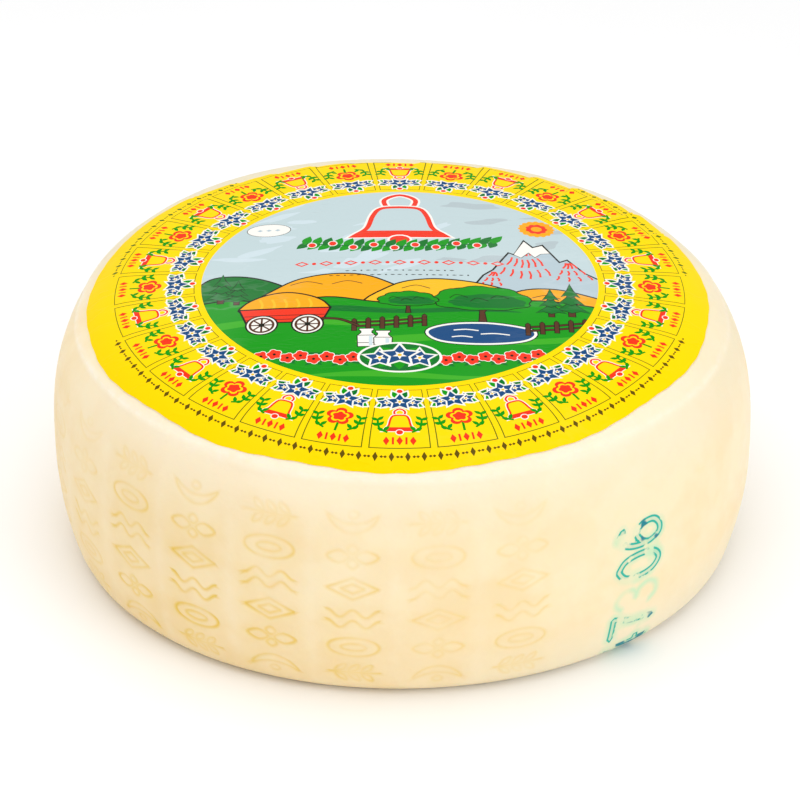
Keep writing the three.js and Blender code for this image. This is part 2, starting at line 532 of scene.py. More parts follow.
def turned(points, turn):
    """Points turned about 0."""
    cos, sin = math.cos(turn), math.sin(turn)
    return np.asarray(points, dtype=float) @ np.array(((cos, sin), (-sin, cos)))


def placed(points, size, u, v):
    """Points that are drawn round 0, at a size and a place. The size is a number, or a width and height."""
    return np.array(points) * size + (u, v)


def flowing(points, closed=True, steps=6):
    """A smooth curve through points."""
    places = np.asarray(points, dtype=float)
    count = len(places)
    spans = count if closed else count - 1
    at = (lambda i: places[i % count]) if closed else (lambda i: places[min(max(i, 0), count - 1)])
    t = np.linspace(0, 1, steps, endpoint=False)[:, None]
    pieces = []
    for i in range(spans):
        a, b, c, d = at(i - 1), at(i), at(i + 1), at(i + 2)
        pieces.append(0.5 * (2 * b + (c - a) * t + (2 * a - 5 * b + 4 * c - d) * t**2
                             + (3 * b - a - 3 * c + d) * t**3))
    if not closed:
        pieces.append(places[-1:])
    return np.vstack(pieces)


def ribbon(points, width):
    """Outline of a stroke along points. The width is one number, or one for each point."""
    path = np.asarray(points, dtype=float)
    ahead = unit(np.gradient(path, axis=0))
    half = np.asarray(width) / 2 * np.ones(len(path))
    side = np.stack((-ahead[:, 1], ahead[:, 0]), axis=-1) * half[:, None]
    return np.vstack((path + side, (path - side)[::-1]))


def area(outline):
    """Area inside an outline, which is negative where the outline runs clockwise."""
    x, y = np.asarray(outline).T
    return 0.5 * float(np.sum(x * np.roll(y, -1) - np.roll(x, -1) * y))


def grown(outline, by):
    """An outline moved out by a distance all round."""
    places = np.asarray(outline, dtype=float)
    if area(places) < 0:
        places = places[::-1]
    ahead = unit(np.roll(places, -1, axis=0) - places)
    out = np.stack((ahead[:, 1], -ahead[:, 0]), axis=-1)
    both = out + np.roll(out, 1, axis=0)
    size = np.maximum(np.linalg.norm(both, axis=-1, keepdims=True), 0.9)
    return places + both / size**2 * 2 * by


def stepped(outline, longest):
    """An outline with points put in along its long sides."""
    ahead = np.roll(outline, -1, axis=0) - outline
    parts = np.maximum(1, np.ceil(np.linalg.norm(ahead, axis=1) / longest)).astype(int)
    return np.vstack([outline[i] + ahead[i] * (np.arange(n) / n)[:, None] for i, n in enumerate(parts)])


def leaf(base, tip, width, count=6):
    """A pointed oval between two points."""
    base, tip = np.asarray(base, dtype=float), np.asarray(tip, dtype=float)
    t = np.linspace(0, 1, count + 1)
    middle_line = base + (tip - base) * t[:, None]
    return ribbon_between(middle_line, width * np.sin(np.pi * t**0.85))


def ribbon_between(path, widths):
    """Outline of a stroke whose ends are points."""
    outline = ribbon(path, widths)
    count = len(path)
    return np.vstack((outline[:count], outline[count + 1:-1]))


def star(u, v, outer, inner, tips, turn=0.0):
    """A star's outline. One with two tips is a lozenge."""
    around = turn + np.linspace(0, 2 * np.pi, 2 * tips, endpoint=False)
    reach = np.where(np.arange(2 * tips) % 2 == 0, outer, inner)
    return polar(reach, around) + (u, v)


def blossom(u, v, outer, inner, petals, turn=0.0, flat=1.0, per_petal=6):
    """A flower's outline with round petals."""
    around = np.linspace(0, 2 * np.pi, petals * per_petal, endpoint=False)
    reach = inner + (outer - inner) * np.abs(np.cos(petals * around / 2)) ** 0.7
    return polar(reach, around + turn, flat) + (u, v)


def winding(points, outline):
    """How many times an outline goes round each point."""
    px, py = points.T[:, None, :]
    ax, ay = outline.T[:, :, None]
    bx, by = np.roll(ax, -1, axis=0), np.roll(ay, -1, axis=0)
    left = (bx - ax) * (py - ay) - (px - ax) * (by - ay)
    up = (ay <= py) & (by > py) & (left > 0)
    down = (ay > py) & (by <= py) & (left < 0)
    return up.sum(axis=0) - down.sum(axis=0)


class Sheet:
    """A drawing of filled outlines, each over those before it."""

    def __init__(self):
        self.shapes = []

    def fill(self, ink, outline):
        self.shapes.append((INKS.index(ink), np.asarray(outline, dtype=float)))

    def lined(self, ink, outline, line=1.05, around="line"):
        self.fill(around, grown(outline, line))
        self.fill(ink, outline)

    def stroke(self, ink, points, width):
        self.fill(ink, ribbon(points, width))

    def add_turned(self, other, turn):
        """Adds another drawing, turned about the label's middle."""
        self.shapes += [(ink, turned(outline, turn)) for ink, outline in other.shapes]

    def mesh(self, name):
        """The outlines as flat faces that carry their ink."""
        points = []
        faces = []
        for _, outline in self.shapes:
            faces.append(tuple(range(len(points), len(points) + len(outline))))
            points += [(x, y, 0) for x, y in outline.tolist()]
        mesh = bpy.data.meshes.new(name)
        mesh.from_pydata(points, [], faces)
        layer = mesh.attributes.new("ink", "INT", "FACE")
        layer.data.foreach_set("value", [ink for ink, _ in self.shapes])
        return mesh

    def add_mesh(self, mesh):
        """Adds the flat faces of a mesh that carry their ink."""
        places = np.empty(len(mesh.vertices) * 3)
        mesh.vertices.foreach_get("co", places)
        places = places.reshape(-1, 3)[:, :2]
        inks = mesh.attributes["ink"].data
        for face in mesh.polygons:
            self.shapes.append((inks[face.index].value, places[list(face.vertices)]))


# ---- The picture in the middle of the label ------------------------------------------------------


def draw_sky(sheet, radius):
    """The sky, with soft streaks of cloud and of greyer haze."""
    sheet.fill("sky", ellipse(0, 0, radius, radius, count=120))
    bends = 9
    around = np.linspace(0, 2 * np.pi, bends, endpoint=False)
    rng = np.random.default_rng(11)
    for k in range(30):
        u, v = rng.uniform(-86, 86), rng.uniform(4, 86)
        reach = rng.uniform(0.5, 1.2, bends)
        size = (rng.uniform(7, 17), rng.uniform(2.2, 5.0))
        wisp = turned(polar(reach, around) * size, rng.uniform(-0.2, 0.7)) + (u, v)
        grey = u > -10 and (k % 2 == 0 or u > 35)
        sheet.fill("haze" if grey else "cloud", flowing(wisp, steps=4))


def draw_bell(sheet, u, v, size, line, body="sky"):
    """A cow bell on its strap, of a height given by size."""
    bow = ((-0.16, 0.42), (-0.22, 0.74), (0, 0.92), (0.22, 0.74), (0.16, 0.42))
    strap = flowing(placed(bow, size, u, v), closed=False, steps=5)
    sheet.stroke("white", strap, line * 1.9)
    sheet.stroke("red", strap, line)
    flank = ((0.0, 0.46), (0.24, 0.42), (0.34, 0.2), (0.42, -0.2), (0.58, -0.42))
    half = flowing(placed(flank, size, 0, 0), closed=False, steps=5)
    shape = np.vstack((half, (half * (-1, 1))[::-1][:-1])) + (u, v)
    sheet.fill("white", grown(shape, line * 1.45))
    sheet.fill("red", grown(shape, line))
    sheet.fill(body, shape)
    hem = ((-0.58, -0.42), (0.58, -0.42), (0.5, -0.27), (-0.5, -0.27))
    sheet.fill("red", placed(hem, size, u, v))
    clapper = ellipse(u, v - 0.55 * size, 0.14 * size, 0.12 * size, count=14)
    sheet.lined("red", clapper, line * 0.45, "white")


def draw_garland(sheet, half_width, v, droop, height):
    """A garland of green leaves with red berries, hung in a shallow bow."""
    count = 19
    for i in range(count):
        t = 2 * i / (count - 1) - 1
        u = half_width * t
        root = v + droop * (t * t - 1)
        lean = 0.45 * t
        for side in (-1, 1):
            foot = (u - side * height * 0.1, root - side * height * 0.08)
            tip = (u + side * height * 0.24 + lean * height * 0.3, root + side * height * 0.5 + height * 0.08)
            outline = leaf(foot, tip, height * 0.36)
            sheet.fill("forest" if (i + (side > 0)) % 3 == 0 else "green", outline)
    stem_t = np.linspace(-1, 1, 33)
    stem = np.stack((half_width * stem_t, v + droop * (stem_t**2 - 1)), axis=-1)
    sheet.stroke("forest", stem, 1.1)
    for i in range(count - 1):
        t = 2 * (i + 0.5) / (count - 1) - 1
        if i % 2 == 0:
            centre = (half_width * t, v + droop * (t * t - 1) + (1.6 if i % 4 else -1.6))
            sheet.fill("white", ellipse(*centre, 2.5, 2.9, count=14))
            sheet.fill("red", ellipse(*centre, 1.9, 2.3, count=14))


def draw_bands(sheet):
    """Rows of plain lozenges, dots and dashes under the garland."""
    for i in range(17):
        u = -49 + 98 * i / 16
        if i % 2 == 0:
            sheet.fill("red", star(u, 14.5, 3.6, 2.6, 2))
            sheet.fill("sky", star(u, 14.5, 2.2, 1.5, 2))
        else:
            sheet.fill("red", ellipse(u, 14.5, 1.1, 1.3, count=10))
    for row, half_width in ((6.2, 26), (1.6, 34)):
        count = int(half_width * 2 / 3.4)
        for i in range(count + 1):
            u = -half_width + 2 * half_width * i / count
            dot = i % 3 == 2
            sheet.fill("line", ellipse(u, row, 0.5, 0.6, count=8) if dot
                       else leaf((u - 1.3, row), (u + 1.3, row), 0.8, count=4))


def draw_peaks(sheet):
    """Mountains at the right, with red strokes of evening light down their flanks."""
    ridge = ((34, -16), (42, 2), (47, 8), (55, 26), (58, 24), (63, 40), (67, 33), (72, 36), (80, 18),
             (84, 21), (92, 8), (104, -2), (104, -20))
    sheet.lined("rock", ridge)
    flanks = (
        ((63, 40), ((50, 4), (55, 2), (60, 0), (65, 0), (70, 2), (75, 4))),
        ((47, 8), ((40, -8), (45, -8), (50, -8))),
        ((84, 21), ((78, 0), (84, -1), (90, 0), (96, 2))),
    )
    for peak, feet in flanks:
        for foot in feet:
            down = np.subtract(foot, peak)
            for start, end in ((0.12, 0.4), (0.5, 0.72), (0.8, 1.0)):
                a, b = peak + down * start, peak + down * end
                sheet.stroke("red", (a, (a + b) / 2 + (0.6, 0), b), 1.1)
    snow = ((57.5, 25.2), (63, 40), (67, 33), (72, 36), (75.6, 28), (71, 27), (68, 23), (65, 28), (61, 22))
    sheet.lined("white", snow, 0.4)


def draw_hills(sheet):
    """Wooded and ripe hills in front of the mountains, with furrows."""
    hills = (
        ("forest", ((-104, -24), (-96, 0), (-82, 4), (-66, -2), (-54, -14), (-60, -30))),
        ("ochre", ((-70, -30), (-58, -8), (-40, 2), (-20, 2), (-4, -8), (8, -20), (-10, -34))),
        ("straw", ((-16, -30), (-4, -10), (14, -3), (34, -5), (52, -12), (66, -22), (40, -34))),
        ("ochre", ((44, -30), (58, -14), (74, -10), (90, -14), (104, -22), (100, -36))),
    )
    for ink, points in hills:
        sheet.lined(ink, flowing(points))
    for u, v, width in ((-46, -4, 16), (-26, -4, 15), (8, -9, 14), (30, -11, 16), (72, -16, 14)):
        furrow = flowing(((u - width / 2, v - 3), (u, v), (u + width / 2, v - 3)), closed=False, steps=4)
        sheet.stroke("brown", furrow, 0.6)


def draw_meadow(sheet):
    """The green meadow with its mown and shaded strips."""
    far_bank = ((-110, -26), (-84, -20), (-60, -25), (-36, -20), (-8, -26), (18, -22), (44, -26), (70, -22),
                (110, -28))
    bank = flowing(far_bank, closed=False)
    sheet.lined("green", np.vstack((bank, ((104, -70), (60, -106), (-60, -106), (-104, -70)))))
    strips = (
        ("grass", ((-100, -44), (-60, -38), (-20, -42), (10, -39), (10, -42), (-20, -47), (-60, -43),
                   (-100, -50))),
        ("forest", ((-60, -31), (-30, -28), (0, -32), (30, -30), (60, -33), (30, -34), (0, -36),
                    (-34, -33))),
        ("grass", ((-20, -60), (20, -54), (60, -57), (92, -52), (92, -56), (60, -62), (20, -60),
                   (-10, -65))),
        ("forest", ((-80, -74), (-40, -70), (0, -78), (40, -72), (78, -74), (40, -77), (0, -84),
                    (-40, -76))),
        ("grass", ((-50, -90), (-10, -86), (30, -90), (50, -88), (30, -93), (-10, -91))),
    )
    for ink, points in strips:
        sheet.fill(ink, flowing(points, steps=5))


def draw_round_tree(sheet, u, v, width, height, first_lobe):
    """A broad tree with a scalloped crown on a short forked trunk."""
    trunk = ((-0.05, -0.85), (-0.03, -0.4), (-0.14, -0.1), (-0.06, -0.1), (0.0, -0.3), (0.08, -0.1),
             (0.15, -0.12), (0.04, -0.45), (0.07, -0.85))
    sheet.lined("brown", placed(trunk, (width * 0.6, height * 0.75), u, v), 0.45)
    lobes = 9
    around = np.linspace(0, 2 * np.pi, lobes * 5, endpoint=False)
    scallop = 0.86 + 0.14 * np.abs(np.sin(lobes * around / 2 + first_lobe)) ** 0.6
    flat = np.where(np.sin(around) < 0, 0.55, 1.0)
    across = scallop * np.cos(around) * width / 2
    up = scallop * flat * np.sin(around) * height / 2
    crown = np.stack((across, up), axis=-1)
    sheet.lined("green", crown + (u, v), 0.6)
    sheet.fill("forest", crown * (0.78, 0.6) + (u + 0.06 * width, v - 0.05 * height))
    for k in range(3):
        spot = (u + (-0.22 + 0.2 * k) * width, v + (0.12 - 0.1 * (k % 2)) * height)
        bow = placed(((-0.09, -0.02), (-0.02, 0.09), (0.09, 0.0)), (width, height), *spot)
        sheet.stroke("line", flowing(bow, closed=False, steps=4), 0.5)


def draw_fir(sheet, u, v, size):
    """A fir with three tiers of branches."""
    trunk = ((-0.06, -0.5), (0.06, -0.5), (0.06, -0.2), (-0.06, -0.2))
    sheet.lined("brown", placed(trunk, size, u, v), 0.4)
    for tier in range(3):
        low = -0.35 + 0.28 * tier
        half = 0.34 - 0.08 * tier
        top = low + 0.5
        branches = ((-half, low), (-half * 0.5, low + 0.06), (0, low - 0.02), (half * 0.5, low + 0.06),
                    (half, low), (half * 0.3, (low + top) / 2), (0, top), (-half * 0.3, (low + top) / 2))
        sheet.lined("forest", placed(branches, size, u, v), 0.45)


def draw_cart(sheet, u, v, size):
    """A red cart with a load of hay and two spoked wheels."""
    heap = ((-0.62, 0.18), (-0.66, 0.42), (-0.36, 0.68), (0.02, 0.78), (0.42, 0.64), (0.66, 0.4), (0.6, 0.18))
    sheet.lined("ochre", flowing(placed(heap, size, u, v), steps=5))
    for k in range(5):
        root = np.array((u + (-0.4 + 0.2 * k) * size, v + 0.24 * size))
        blade = np.array((root, root + (0.03 * size, 0.16 * size), root + (-0.02 * size, 0.34 * size)))
        sheet.stroke("straw", flowing(blade, closed=False, steps=3), 1.3)
    box = ((-0.72, 0.26), (-0.6, -0.14), (0.6, -0.14), (0.72, 0.26))
    sheet.lined("red", placed(box, size, u, v))
    for k in (-1, 0):
        board = placed(((-0.65, 0.06), (0.65, 0.06)), size, u, v + 0.12 * k * size)
        sheet.stroke("line", board, 0.5)
    shaft = flowing(placed(((0.6, -0.06), (0.9, -0.1), (1.2, -0.3)), size, u, v), closed=False, steps=4)
    sheet.stroke("line", shaft, 2.2)
    sheet.stroke("brown", shaft, 1.2)
    rims = (("line", 0.27, 0.3), ("white", 0.24, 0.27), ("brown", 0.21, 0.235), ("white", 0.17, 0.19))
    for centre in (-0.36, 0.38):
        hub = (u + centre * size, v - 0.22 * size)
        for ink, wide, tall in rims:
            sheet.fill(ink, ellipse(*hub, wide * size, tall * size, count=28))
        for k in range(4):
            spoke = turned(((-0.18 * size, 0), (0, 0), (0.18 * size, 0)), k * math.pi / 4) * (1, 1.1)
            sheet.stroke("brown", spoke + hub, 1.0)
        sheet.fill("line", ellipse(*hub, 0.05 * size, 0.055 * size, count=10))


def draw_churn(sheet, u, v, size):
    """A milk churn with two hoops."""
    half = np.array(((0.26, -0.5), (0.28, 0.12), (0.16, 0.28), (0.16, 0.4), (0.22, 0.46), (0.22, 0.52)))
    shape = np.vstack((half, (half * (-1, 1))[::-1])) * size + (u, v)
    sheet.lined("white", shape, 0.5)
    for level in (0.14, -0.3):
        sheet.stroke("line", placed(((-0.27, level), (0.27, level)), size, u, v), 0.5)
    sheet.fill("cloud", placed(((0.08, -0.46), (0.2, -0.46), (0.2, 0.08), (0.08, 0.1)), size, u, v))


def draw_fence(sheet, start, end, posts):
    """A fence of two rails on pointed posts."""
    a, b = np.array(start, dtype=float), np.array(end, dtype=float)
    for lift in (2.2, 5.6):
        rail = np.array((a + (0, lift), (a + b) / 2 + (0, lift - 0.6), b + (0, lift)))
        sheet.stroke("line", rail, 2.0)
        sheet.stroke("brown", rail, 1.1)
    for k in range(posts):
        foot = a + (b - a) * k / (posts - 1)
        post = foot + np.array(((-1.0, -1.5), (1.0, -1.5), (1.0, 8), (0, 9.2), (-1.0, 8)))
        sheet.lined("brown", post, 0.4)


def draw_lake(sheet):
    """A small lake with three glints."""
    shore = flowing(((14, -52), (26, -46), (46, -45), (64, -50), (60, -58), (40, -62), (20, -60)))
    sheet.fill("line", grown(shore, 2.0))
    sheet.fill("white", grown(shore, 1.4))
    sheet.fill("blue", shore)
    for u, v, width in ((32, -51, 12), (46, -54, 14), (30, -57, 10)):
        glint = flowing(((u - width / 2, v), (u, v + 0.9), (u + width / 2, v)), closed=False, steps=4)
        sheet.stroke("white", glint, 0.9)


def draw_flowers(sheet):
    """A bow of poppies with a posy of gentians in its middle, along the front of the meadow."""
    count = 22
    for i in range(count):
        t = 2 * i / (count - 1) - 1
        if abs(t) < 0.24:
            continue
        u = 66 * t
        v = -71 - 5.5 * (1 - t * t) + (1.2 if i % 2 else -1.2)
        for side in (-1, 1):
            sheet.fill("forest", leaf((u, v - 2), (u + side * 4.2, v - 5.4), 2.0))
        sheet.lined("red", blossom(u, v, 3.7, 2.4, 5, turn=0.6 * i, flat=1.15, per_petal=5), 0.4, "white")
        sheet.fill("line", ellipse(u, v, 0.8, 0.9, count=8))
    plate = ellipse(0, -75, 19, 11.5, count=48)
    sheet.fill("white", grown(plate, 1.3))
    sheet.fill("forest", plate)
    for k in range(10):
        turn = 2 * math.pi * k / 10 + 0.3
        tip = (16.8 * math.cos(turn), -75 + 10.2 * math.sin(turn))
        sheet.fill("green", leaf((4 * math.cos(turn), -75 + 2.4 * math.sin(turn)), tip, 5.2))
    for u, v, outer in ((-9.5, -75.5, 7.4), (9.5, -75.5, 7.4), (0, -73.2, 8.6)):
        draw_gentian(sheet, u, v, outer)


def draw_gentian(sheet, u, v, outer):
    """A blue flower with five pointed petals, a white star and a yellow heart."""
    petals = star(u, v, outer, outer * 0.5, 5, turn=math.pi / 2)
    sheet.fill("white", grown(petals, outer * 0.13))
    sheet.fill("blue", petals)
    sheet.fill("white", star(u, v, outer * 0.42, outer * 0.18, 5, turn=-math.pi / 2))
    sheet.fill("straw", ellipse(u, v, outer * 0.13, outer * 0.13, count=8))


def draw_marigold(sheet, u, v, size):
    """An orange flower with a red ring."""
    sheet.fill("ochre", blossom(u, v, size, size * 0.84, 16, per_petal=5))
    sheet.fill("red", blossom(u, v, size * 0.6, size * 0.48, 9, per_petal=5))
    sheet.fill("ochre", ellipse(u, v, size * 0.3, size * 0.3, count=16))


def draw_seal(sheet, u, v):
    """A plain white oval with a fine rim and a row of small lozenges."""
    sheet.lined("white", ellipse(u, v, 11, 7, count=40), 0.35)
    for k in (-1, 0, 1):
        sheet.fill("rock", star(u + 4.5 * k, v, 1.5, 1.2, 2))


def draw_picture(sheet, radius):
    """An alpine meadow under a bell, a garland and rows of lozenges."""
    draw_sky(sheet, radius)
    draw_peaks(sheet)
    draw_hills(sheet)
    draw_meadow(sheet)
    draw_bell(sheet, 0, 60, 37, 2.6)
    draw_garland(sheet, 47, 37, 5, 14)
    draw_bands(sheet)
    draw_marigold(sheet, 70, 55, 9.5)
    draw_seal(sheet, -67, 54)
    for u, v, size in ((84, -22, 26), (74, -25, 22), (-88, -10, 24), (-80, -14, 20)):
        draw_fir(sheet, u, v, size)
    draw_round_tree(sheet, 40, -24, 50, 30, 0.3)
    draw_round_tree(sheet, 4, -24, 30, 18, 1.1)
    draw_lake(sheet)
    draw_fence(sheet, (62, -52), (90, -46), 5)
    draw_fence(sheet, (-22, -50), (12, -46), 6)
    draw_cart(sheet, -56, -38, 30)
    draw_churn(sheet, -16, -58, 15)
    draw_churn(sheet, -8, -60, 15)
    draw_flowers(sheet)


# ---- The ring of badges --------------------------------------------------------------------------


def cell_outline(inner, outer, half_turn):
    """A frame between two radii, standing at the front of the ring."""
    around = np.linspace(-half_turn, half_turn, 7) - math.pi / 2
    return np.vstack((polar(outer, around), polar(inner, around)[::-1]))


def frame_shapes(sheet, label):
    """The fine frame of one badge."""
    inner, outer = label.cell_inner / MM, label.cell_outer / MM
    gap, line = 1.25, 0.42
    half_turn = math.pi / label.cells - gap / ((inner + outer) / 2)
    sheet.fill("hair", cell_outline(inner, outer, half_turn))
    sheet.fill("yellow", cell_outline(inner + line, outer - line, half_turn - line / inner))


def draw_posy(sheet, v):
    """Three gentians with leaves, on a white rim."""
    leaves = [leaf((side * 4.0, v), (side * 10.8, v + up), 4.4) for side in (-1, 1) for up in (-3.2, 3.0)]
    leaves += [leaf((side * 1.0, v + 3), (side * 3.4, v + 8.4), 3.0) for side in (-1, 1)]
    for outline in leaves:
        sheet.fill("white", grown(outline, 0.8))
    for k, outline in enumerate(leaves):
        sheet.fill("forest" if k % 2 else "green", outline)
    for side in (-1, 1):
        draw_gentian(sheet, side * 6.0, v - 0.4, 4.4)
    draw_gentian(sheet, 0, v + 0.4, 6.2)
    sheet.fill("white", ellipse(0, v + 8.6, 2.0, 2.0, count=12))
    sheet.fill("red", ellipse(0, v + 8.6, 1.4, 1.4, count=12))


def draw_sprigs(sheet, v):
    """A leafy stem at each side of a motif."""
    for side in (-1, 1):
        stem = flowing(((side * 5.6, v - 7.0), (side * 9.4, v - 4.2), (side * 10.2, v + 2.4)),
                       closed=False, steps=4)
        sheet.stroke("green", stem, 1.1)
        for t in (2, 5, 7):
            root = stem[t]
            sheet.fill("green", leaf(root, root + (side * 3.0, 2.0), 2.1))
            sheet.fill("green", leaf(root, root + (-side * 2.8, 3.0), 2.0))


def draw_poppy(sheet, v):
    """A red poppy on a stalk."""
    sheet.stroke("green", ((0, v - 7.4), (0.3, v - 3.0), (0, v + 1)), 1.2)
    for ink, outer, inner, per_petal in (("red", 6.6, 4.6, 6), ("yellow", 4.6, 3.2, 6), ("red", 3.4, 2.2, 5)):
        petals = blossom(0, v + 2.4, outer, inner, 5, turn=0.3, flat=0.95, per_petal=per_petal)
        sheet.fill(ink, petals)


def draw_beads(sheet, v, count=5, pitch=3.1):
    """A short row of red lozenges and bars."""
    bar = np.array(((-0.5, -1.8), (0.5, -1.8), (0.5, 1.8), (-0.5, 1.8)))
    for k in range(count):
        u = (k - (count - 1) / 2) * pitch
        sheet.fill("red", bar + (u, v) if k % 2 else star(u, v, 1.5, 2.2, 2))


def badges(label):
    """Two neighbouring badges of the ring, the first of which stands at the label's front."""
    inner = label.cell_inner / MM
    pair = Sheet()
    for k in range(2):
        sheet = Sheet()
        frame_shapes(sheet, label)
        draw_posy(sheet, -(inner + 9.8))
        if k == 0:
            draw_bell(sheet, 0, -(inner + 25.2), 11.2, 1.0, body="yellow")
        else:
            draw_poppy(sheet, -(inner + 25.2))
        draw_sprigs(sheet, -(inner + 24.4))
        draw_beads(sheet, -(inner + 36.0))
        pair.add_turned(sheet, k * 2 * math.pi / label.cells)
    return pair.mesh("badges")


BORDER_RADIUS = 144.8  # of the fine border near the edge, in mm
BORDER_STEP = 2.98  # about the degrees from one mark of the border to the next
BORDER_PARTS = (("sepia", -70, 70), ("hair", 98, 138), ("hair", 218, 262))  # ink, first and last degree


def edge_mark(ink, start_turn):
    """A lozenge between two dashes of the fine border near the edge."""
    sheet = Sheet()
    for u, outer, inner in ((0, 1.3, 1.8), (-2.9, 0.9, 0.55), (2.9, 0.9, 0.55)):
        sheet.fill(ink, turned(star(u, -BORDER_RADIUS, outer, inner, 2), start_turn))
    return sheet.mesh("edge_mark")


def ring_ground(radius):
    """The yellow that covers what runs over the picture's edge."""
    outer = ellipse(0, 0, radius + 38, radius + 38, count=120)
    inner = ellipse(0, 0, radius, radius, count=180)
    return np.vstack((outer, outer[:1], inner[:1], inner[::-1]))


# ---- The film ------------------------------------------------------------------------------------


def label_edge(label, turn):
    """Radius of the label's trimmed edge in a direction, before the folds pull it in."""
    lean = label.edge_lean * np.cos(turn - label.edge_lean_turn)
    oval = label.edge_oval * np.cos(2 * turn)
    three_sided = label.edge_three_sided * np.cos(3 * (turn - label.edge_turn))
    return label.radius + lean + oval + three_sided + label.edge_ripple * np.sin(label.ripples * turn)


FOLDS = ((24, 0.9), (34, 1.5), (42, 1.1), (50, 1.7), (60, 1.3), (72, 1.1), (86, 0.8), (101, 0.5),
         (109, 0.8), (118, 0.9), (127, 0.7), (137, 0.6))  # direction in degrees and height in mm
FOLDS_PART = 95  # the folds to the right of this direction face right and the others left
FOLDS_START = 118  # distance from the film's middle where the folds begin, in mm
FOLDS_REACH = 26  # over which they grow to their full height, in mm


def past_folds(turn, reach):
    """The height of each fold, and how far places lie past it, both in mm."""
    for degrees, height in FOLDS:
        side = 1 if degrees < FOLDS_PART else -1
        yield height, side * (turn - math.radians(degrees)) * reach


def fold_height(turn, reach):
    """Height in mm of the film's folds near the edge at the back, each steep on one side."""
    fade = np.clip((reach - FOLDS_START) / FOLDS_REACH, 0, 1) ** 1.5
    aslant = 0.2 * (reach - 140)
    total = np.zeros_like(turn)
    for height, past in past_folds(turn, reach):
        off = past - aslant
        total += height * fade * np.where(off < 0, np.exp(off / 5.0), np.exp(-((off / 1.1) ** 2)))
    return total


def fold_pull(turn):
    """How far the folds pull the trimmed edge in, in mm, most just past each fold."""
    total = np.zeros_like(turn)
    for height, past in past_folds(turn, 145):
        total += 2.6 * height * np.exp(-np.abs(past) / np.where(past > 0, 7.0, 0.9))
    return total


def fold_places():
    """Places close together in rows across the film's folds, in mm."""
    around = np.radians(np.arange(10, 146, 0.42))[:, None]
    return polar(np.arange(123, 156, 2.0), around).reshape(-1, 2)


def film_lift(u, v):
    """How far the film stands off the rind, in mm, for its ripples and folds."""
    turn, reach = np.arctan2(v, u), np.hypot(u, v)
    ripple = 0.035 * np.sin(0.19 * u + 0.07 * v + 1.0) * np.sin(0.05 * u - 0.16 * v)
    crease = 0.04 * np.exp(-((np.sin(0.045 * u + 0.06 * v + 0.8 * np.sin(0.03 * u)) / 0.12) ** 2))
    return 0.05 + ripple + crease + fold_height(turn, reach)


def drape(wheel, label, places, lift):
    """Points of the film that is laid on the wheel, from places on the flat film in mm."""
    u, v = places.T
    points, normals = top_surface(wheel, u * MM + label.shift[0], v * MM + label.shift[1])
    height = dents(wheel, points) + lift + film_lift(u, v) * MM
    return points + normals * height[:, None] - middle(wheel)


def film_print(label):
    """The whole print: the picture, the ring's yellow, the badges and the fine border."""
    sheet = Sheet()
    radius = label.picture_radius / MM
    draw_picture(sheet, radius)
    sheet.fill("yellow", ring_ground(radius))
    sheet.add_mesh(repeated(badges(label), label.cells // 2, (0, 0, 0), 4 * math.pi / label.cells))
    for ink, first, last in BORDER_PARTS:
        count = round((last - first) / BORDER_STEP) + 1
        step = math.radians(last - first) / (count - 1)
        sheet.add_mesh(repeated(edge_mark(ink, math.radians(first)), count, (0, 0, 0), step))
    return sheet


FILM_LIMIT = 160  # half the side of a square that holds the whole film, in mm
LONGEST_LINE = 3.0  # of an outline's piece between two vertices, in mm


def trimmed_edge(label):
    """Directions round the film from its middle, and the reach of its edge there in mm."""
    turn = np.linspace(0, 2 * np.pi, 720, endpoint=False)
    rough = 0.25 * np.sin(37 * turn) * np.sin(23 * turn + 0.5)
    return turn, label_edge(label, turn) / MM - fold_pull(turn) + rough


def filled_out(outlines, fold_gap, spacing):
    """Places that fill the film between outlines, denser at its folds."""
    filler = grid_points((-FILM_LIMIT, -FILM_LIMIT), (FILM_LIMIT, FILM_LIMIT), spacing)
    return thinned((outlines, fold_places(), filler), (0, fold_gap, spacing * 0.5))[len(outlines):]


def ring_edges(start, count):
    """The edges of a closed outline of vertices that follow each other."""
    return [(start + i, start + (i + 1) % count) for i in range(count)]


def printed_faces(label, sheet):
    """Triangles of the flat film, cut along the outlines of the print, and the ink of each."""
    turn, reach = trimmed_edge(label)
    edge = polar(reach, turn)
    outlines = [edge, *(stepped(shape, LONGEST_LINE) for _, shape in sheet.shapes)]
    edges = []
    for outline in outlines:
        edges += ring_edges(len(edges), len(outline))
    points = np.vstack(outlines)
    filler = filled_out(points, fold_gap=0.75, spacing=2.6)
    around, out = np.arctan2(filler[:, 1], filler[:, 0]), np.hypot(*filler.T)
    clear = 0.7
    filler = filler[out < np.interp(around % (2 * np.pi), turn, reach, period=2 * np.pi) - clear]
    places, faces = triangulate(np.vstack((points, filler)), edges)
    faces = faces[inside(places[faces].mean(axis=1), edge)]
    centres = places[faces].mean(axis=1)
    inks = np.zeros(len(faces), dtype=int)
    for ink, outline in sheet.shapes:
        low, high = outline.min(axis=0), outline.max(axis=0)
        near = np.flatnonzero(np.all((centres >= low) & (centres <= high), axis=1))
        inks[near[inside(centres[near], outline)]] = ink
    return places, faces, inks


def inside(points, outline, size=4000):
    """Which points an outline goes round. They are taken a few thousand at a time."""
    turns = [winding(points[i:i + size], outline) for i in range(0, len(points), size)]
    return np.concatenate((np.zeros(0), *turns)) != 0


def border(faces):
    """The vertices round the outside of a sheet of triangles, in order."""
    ahead = {pair for a, b, c in faces.tolist() for pair in ((a, b), (b, c), (c, a))}
    following = {a: b for a, b in ahead if (b, a) not in ahead}
    first = min(following)
    loop = [first]
    while following[loop[-1]] != first:
        loop.append(following[loop[-1]])
    return loop


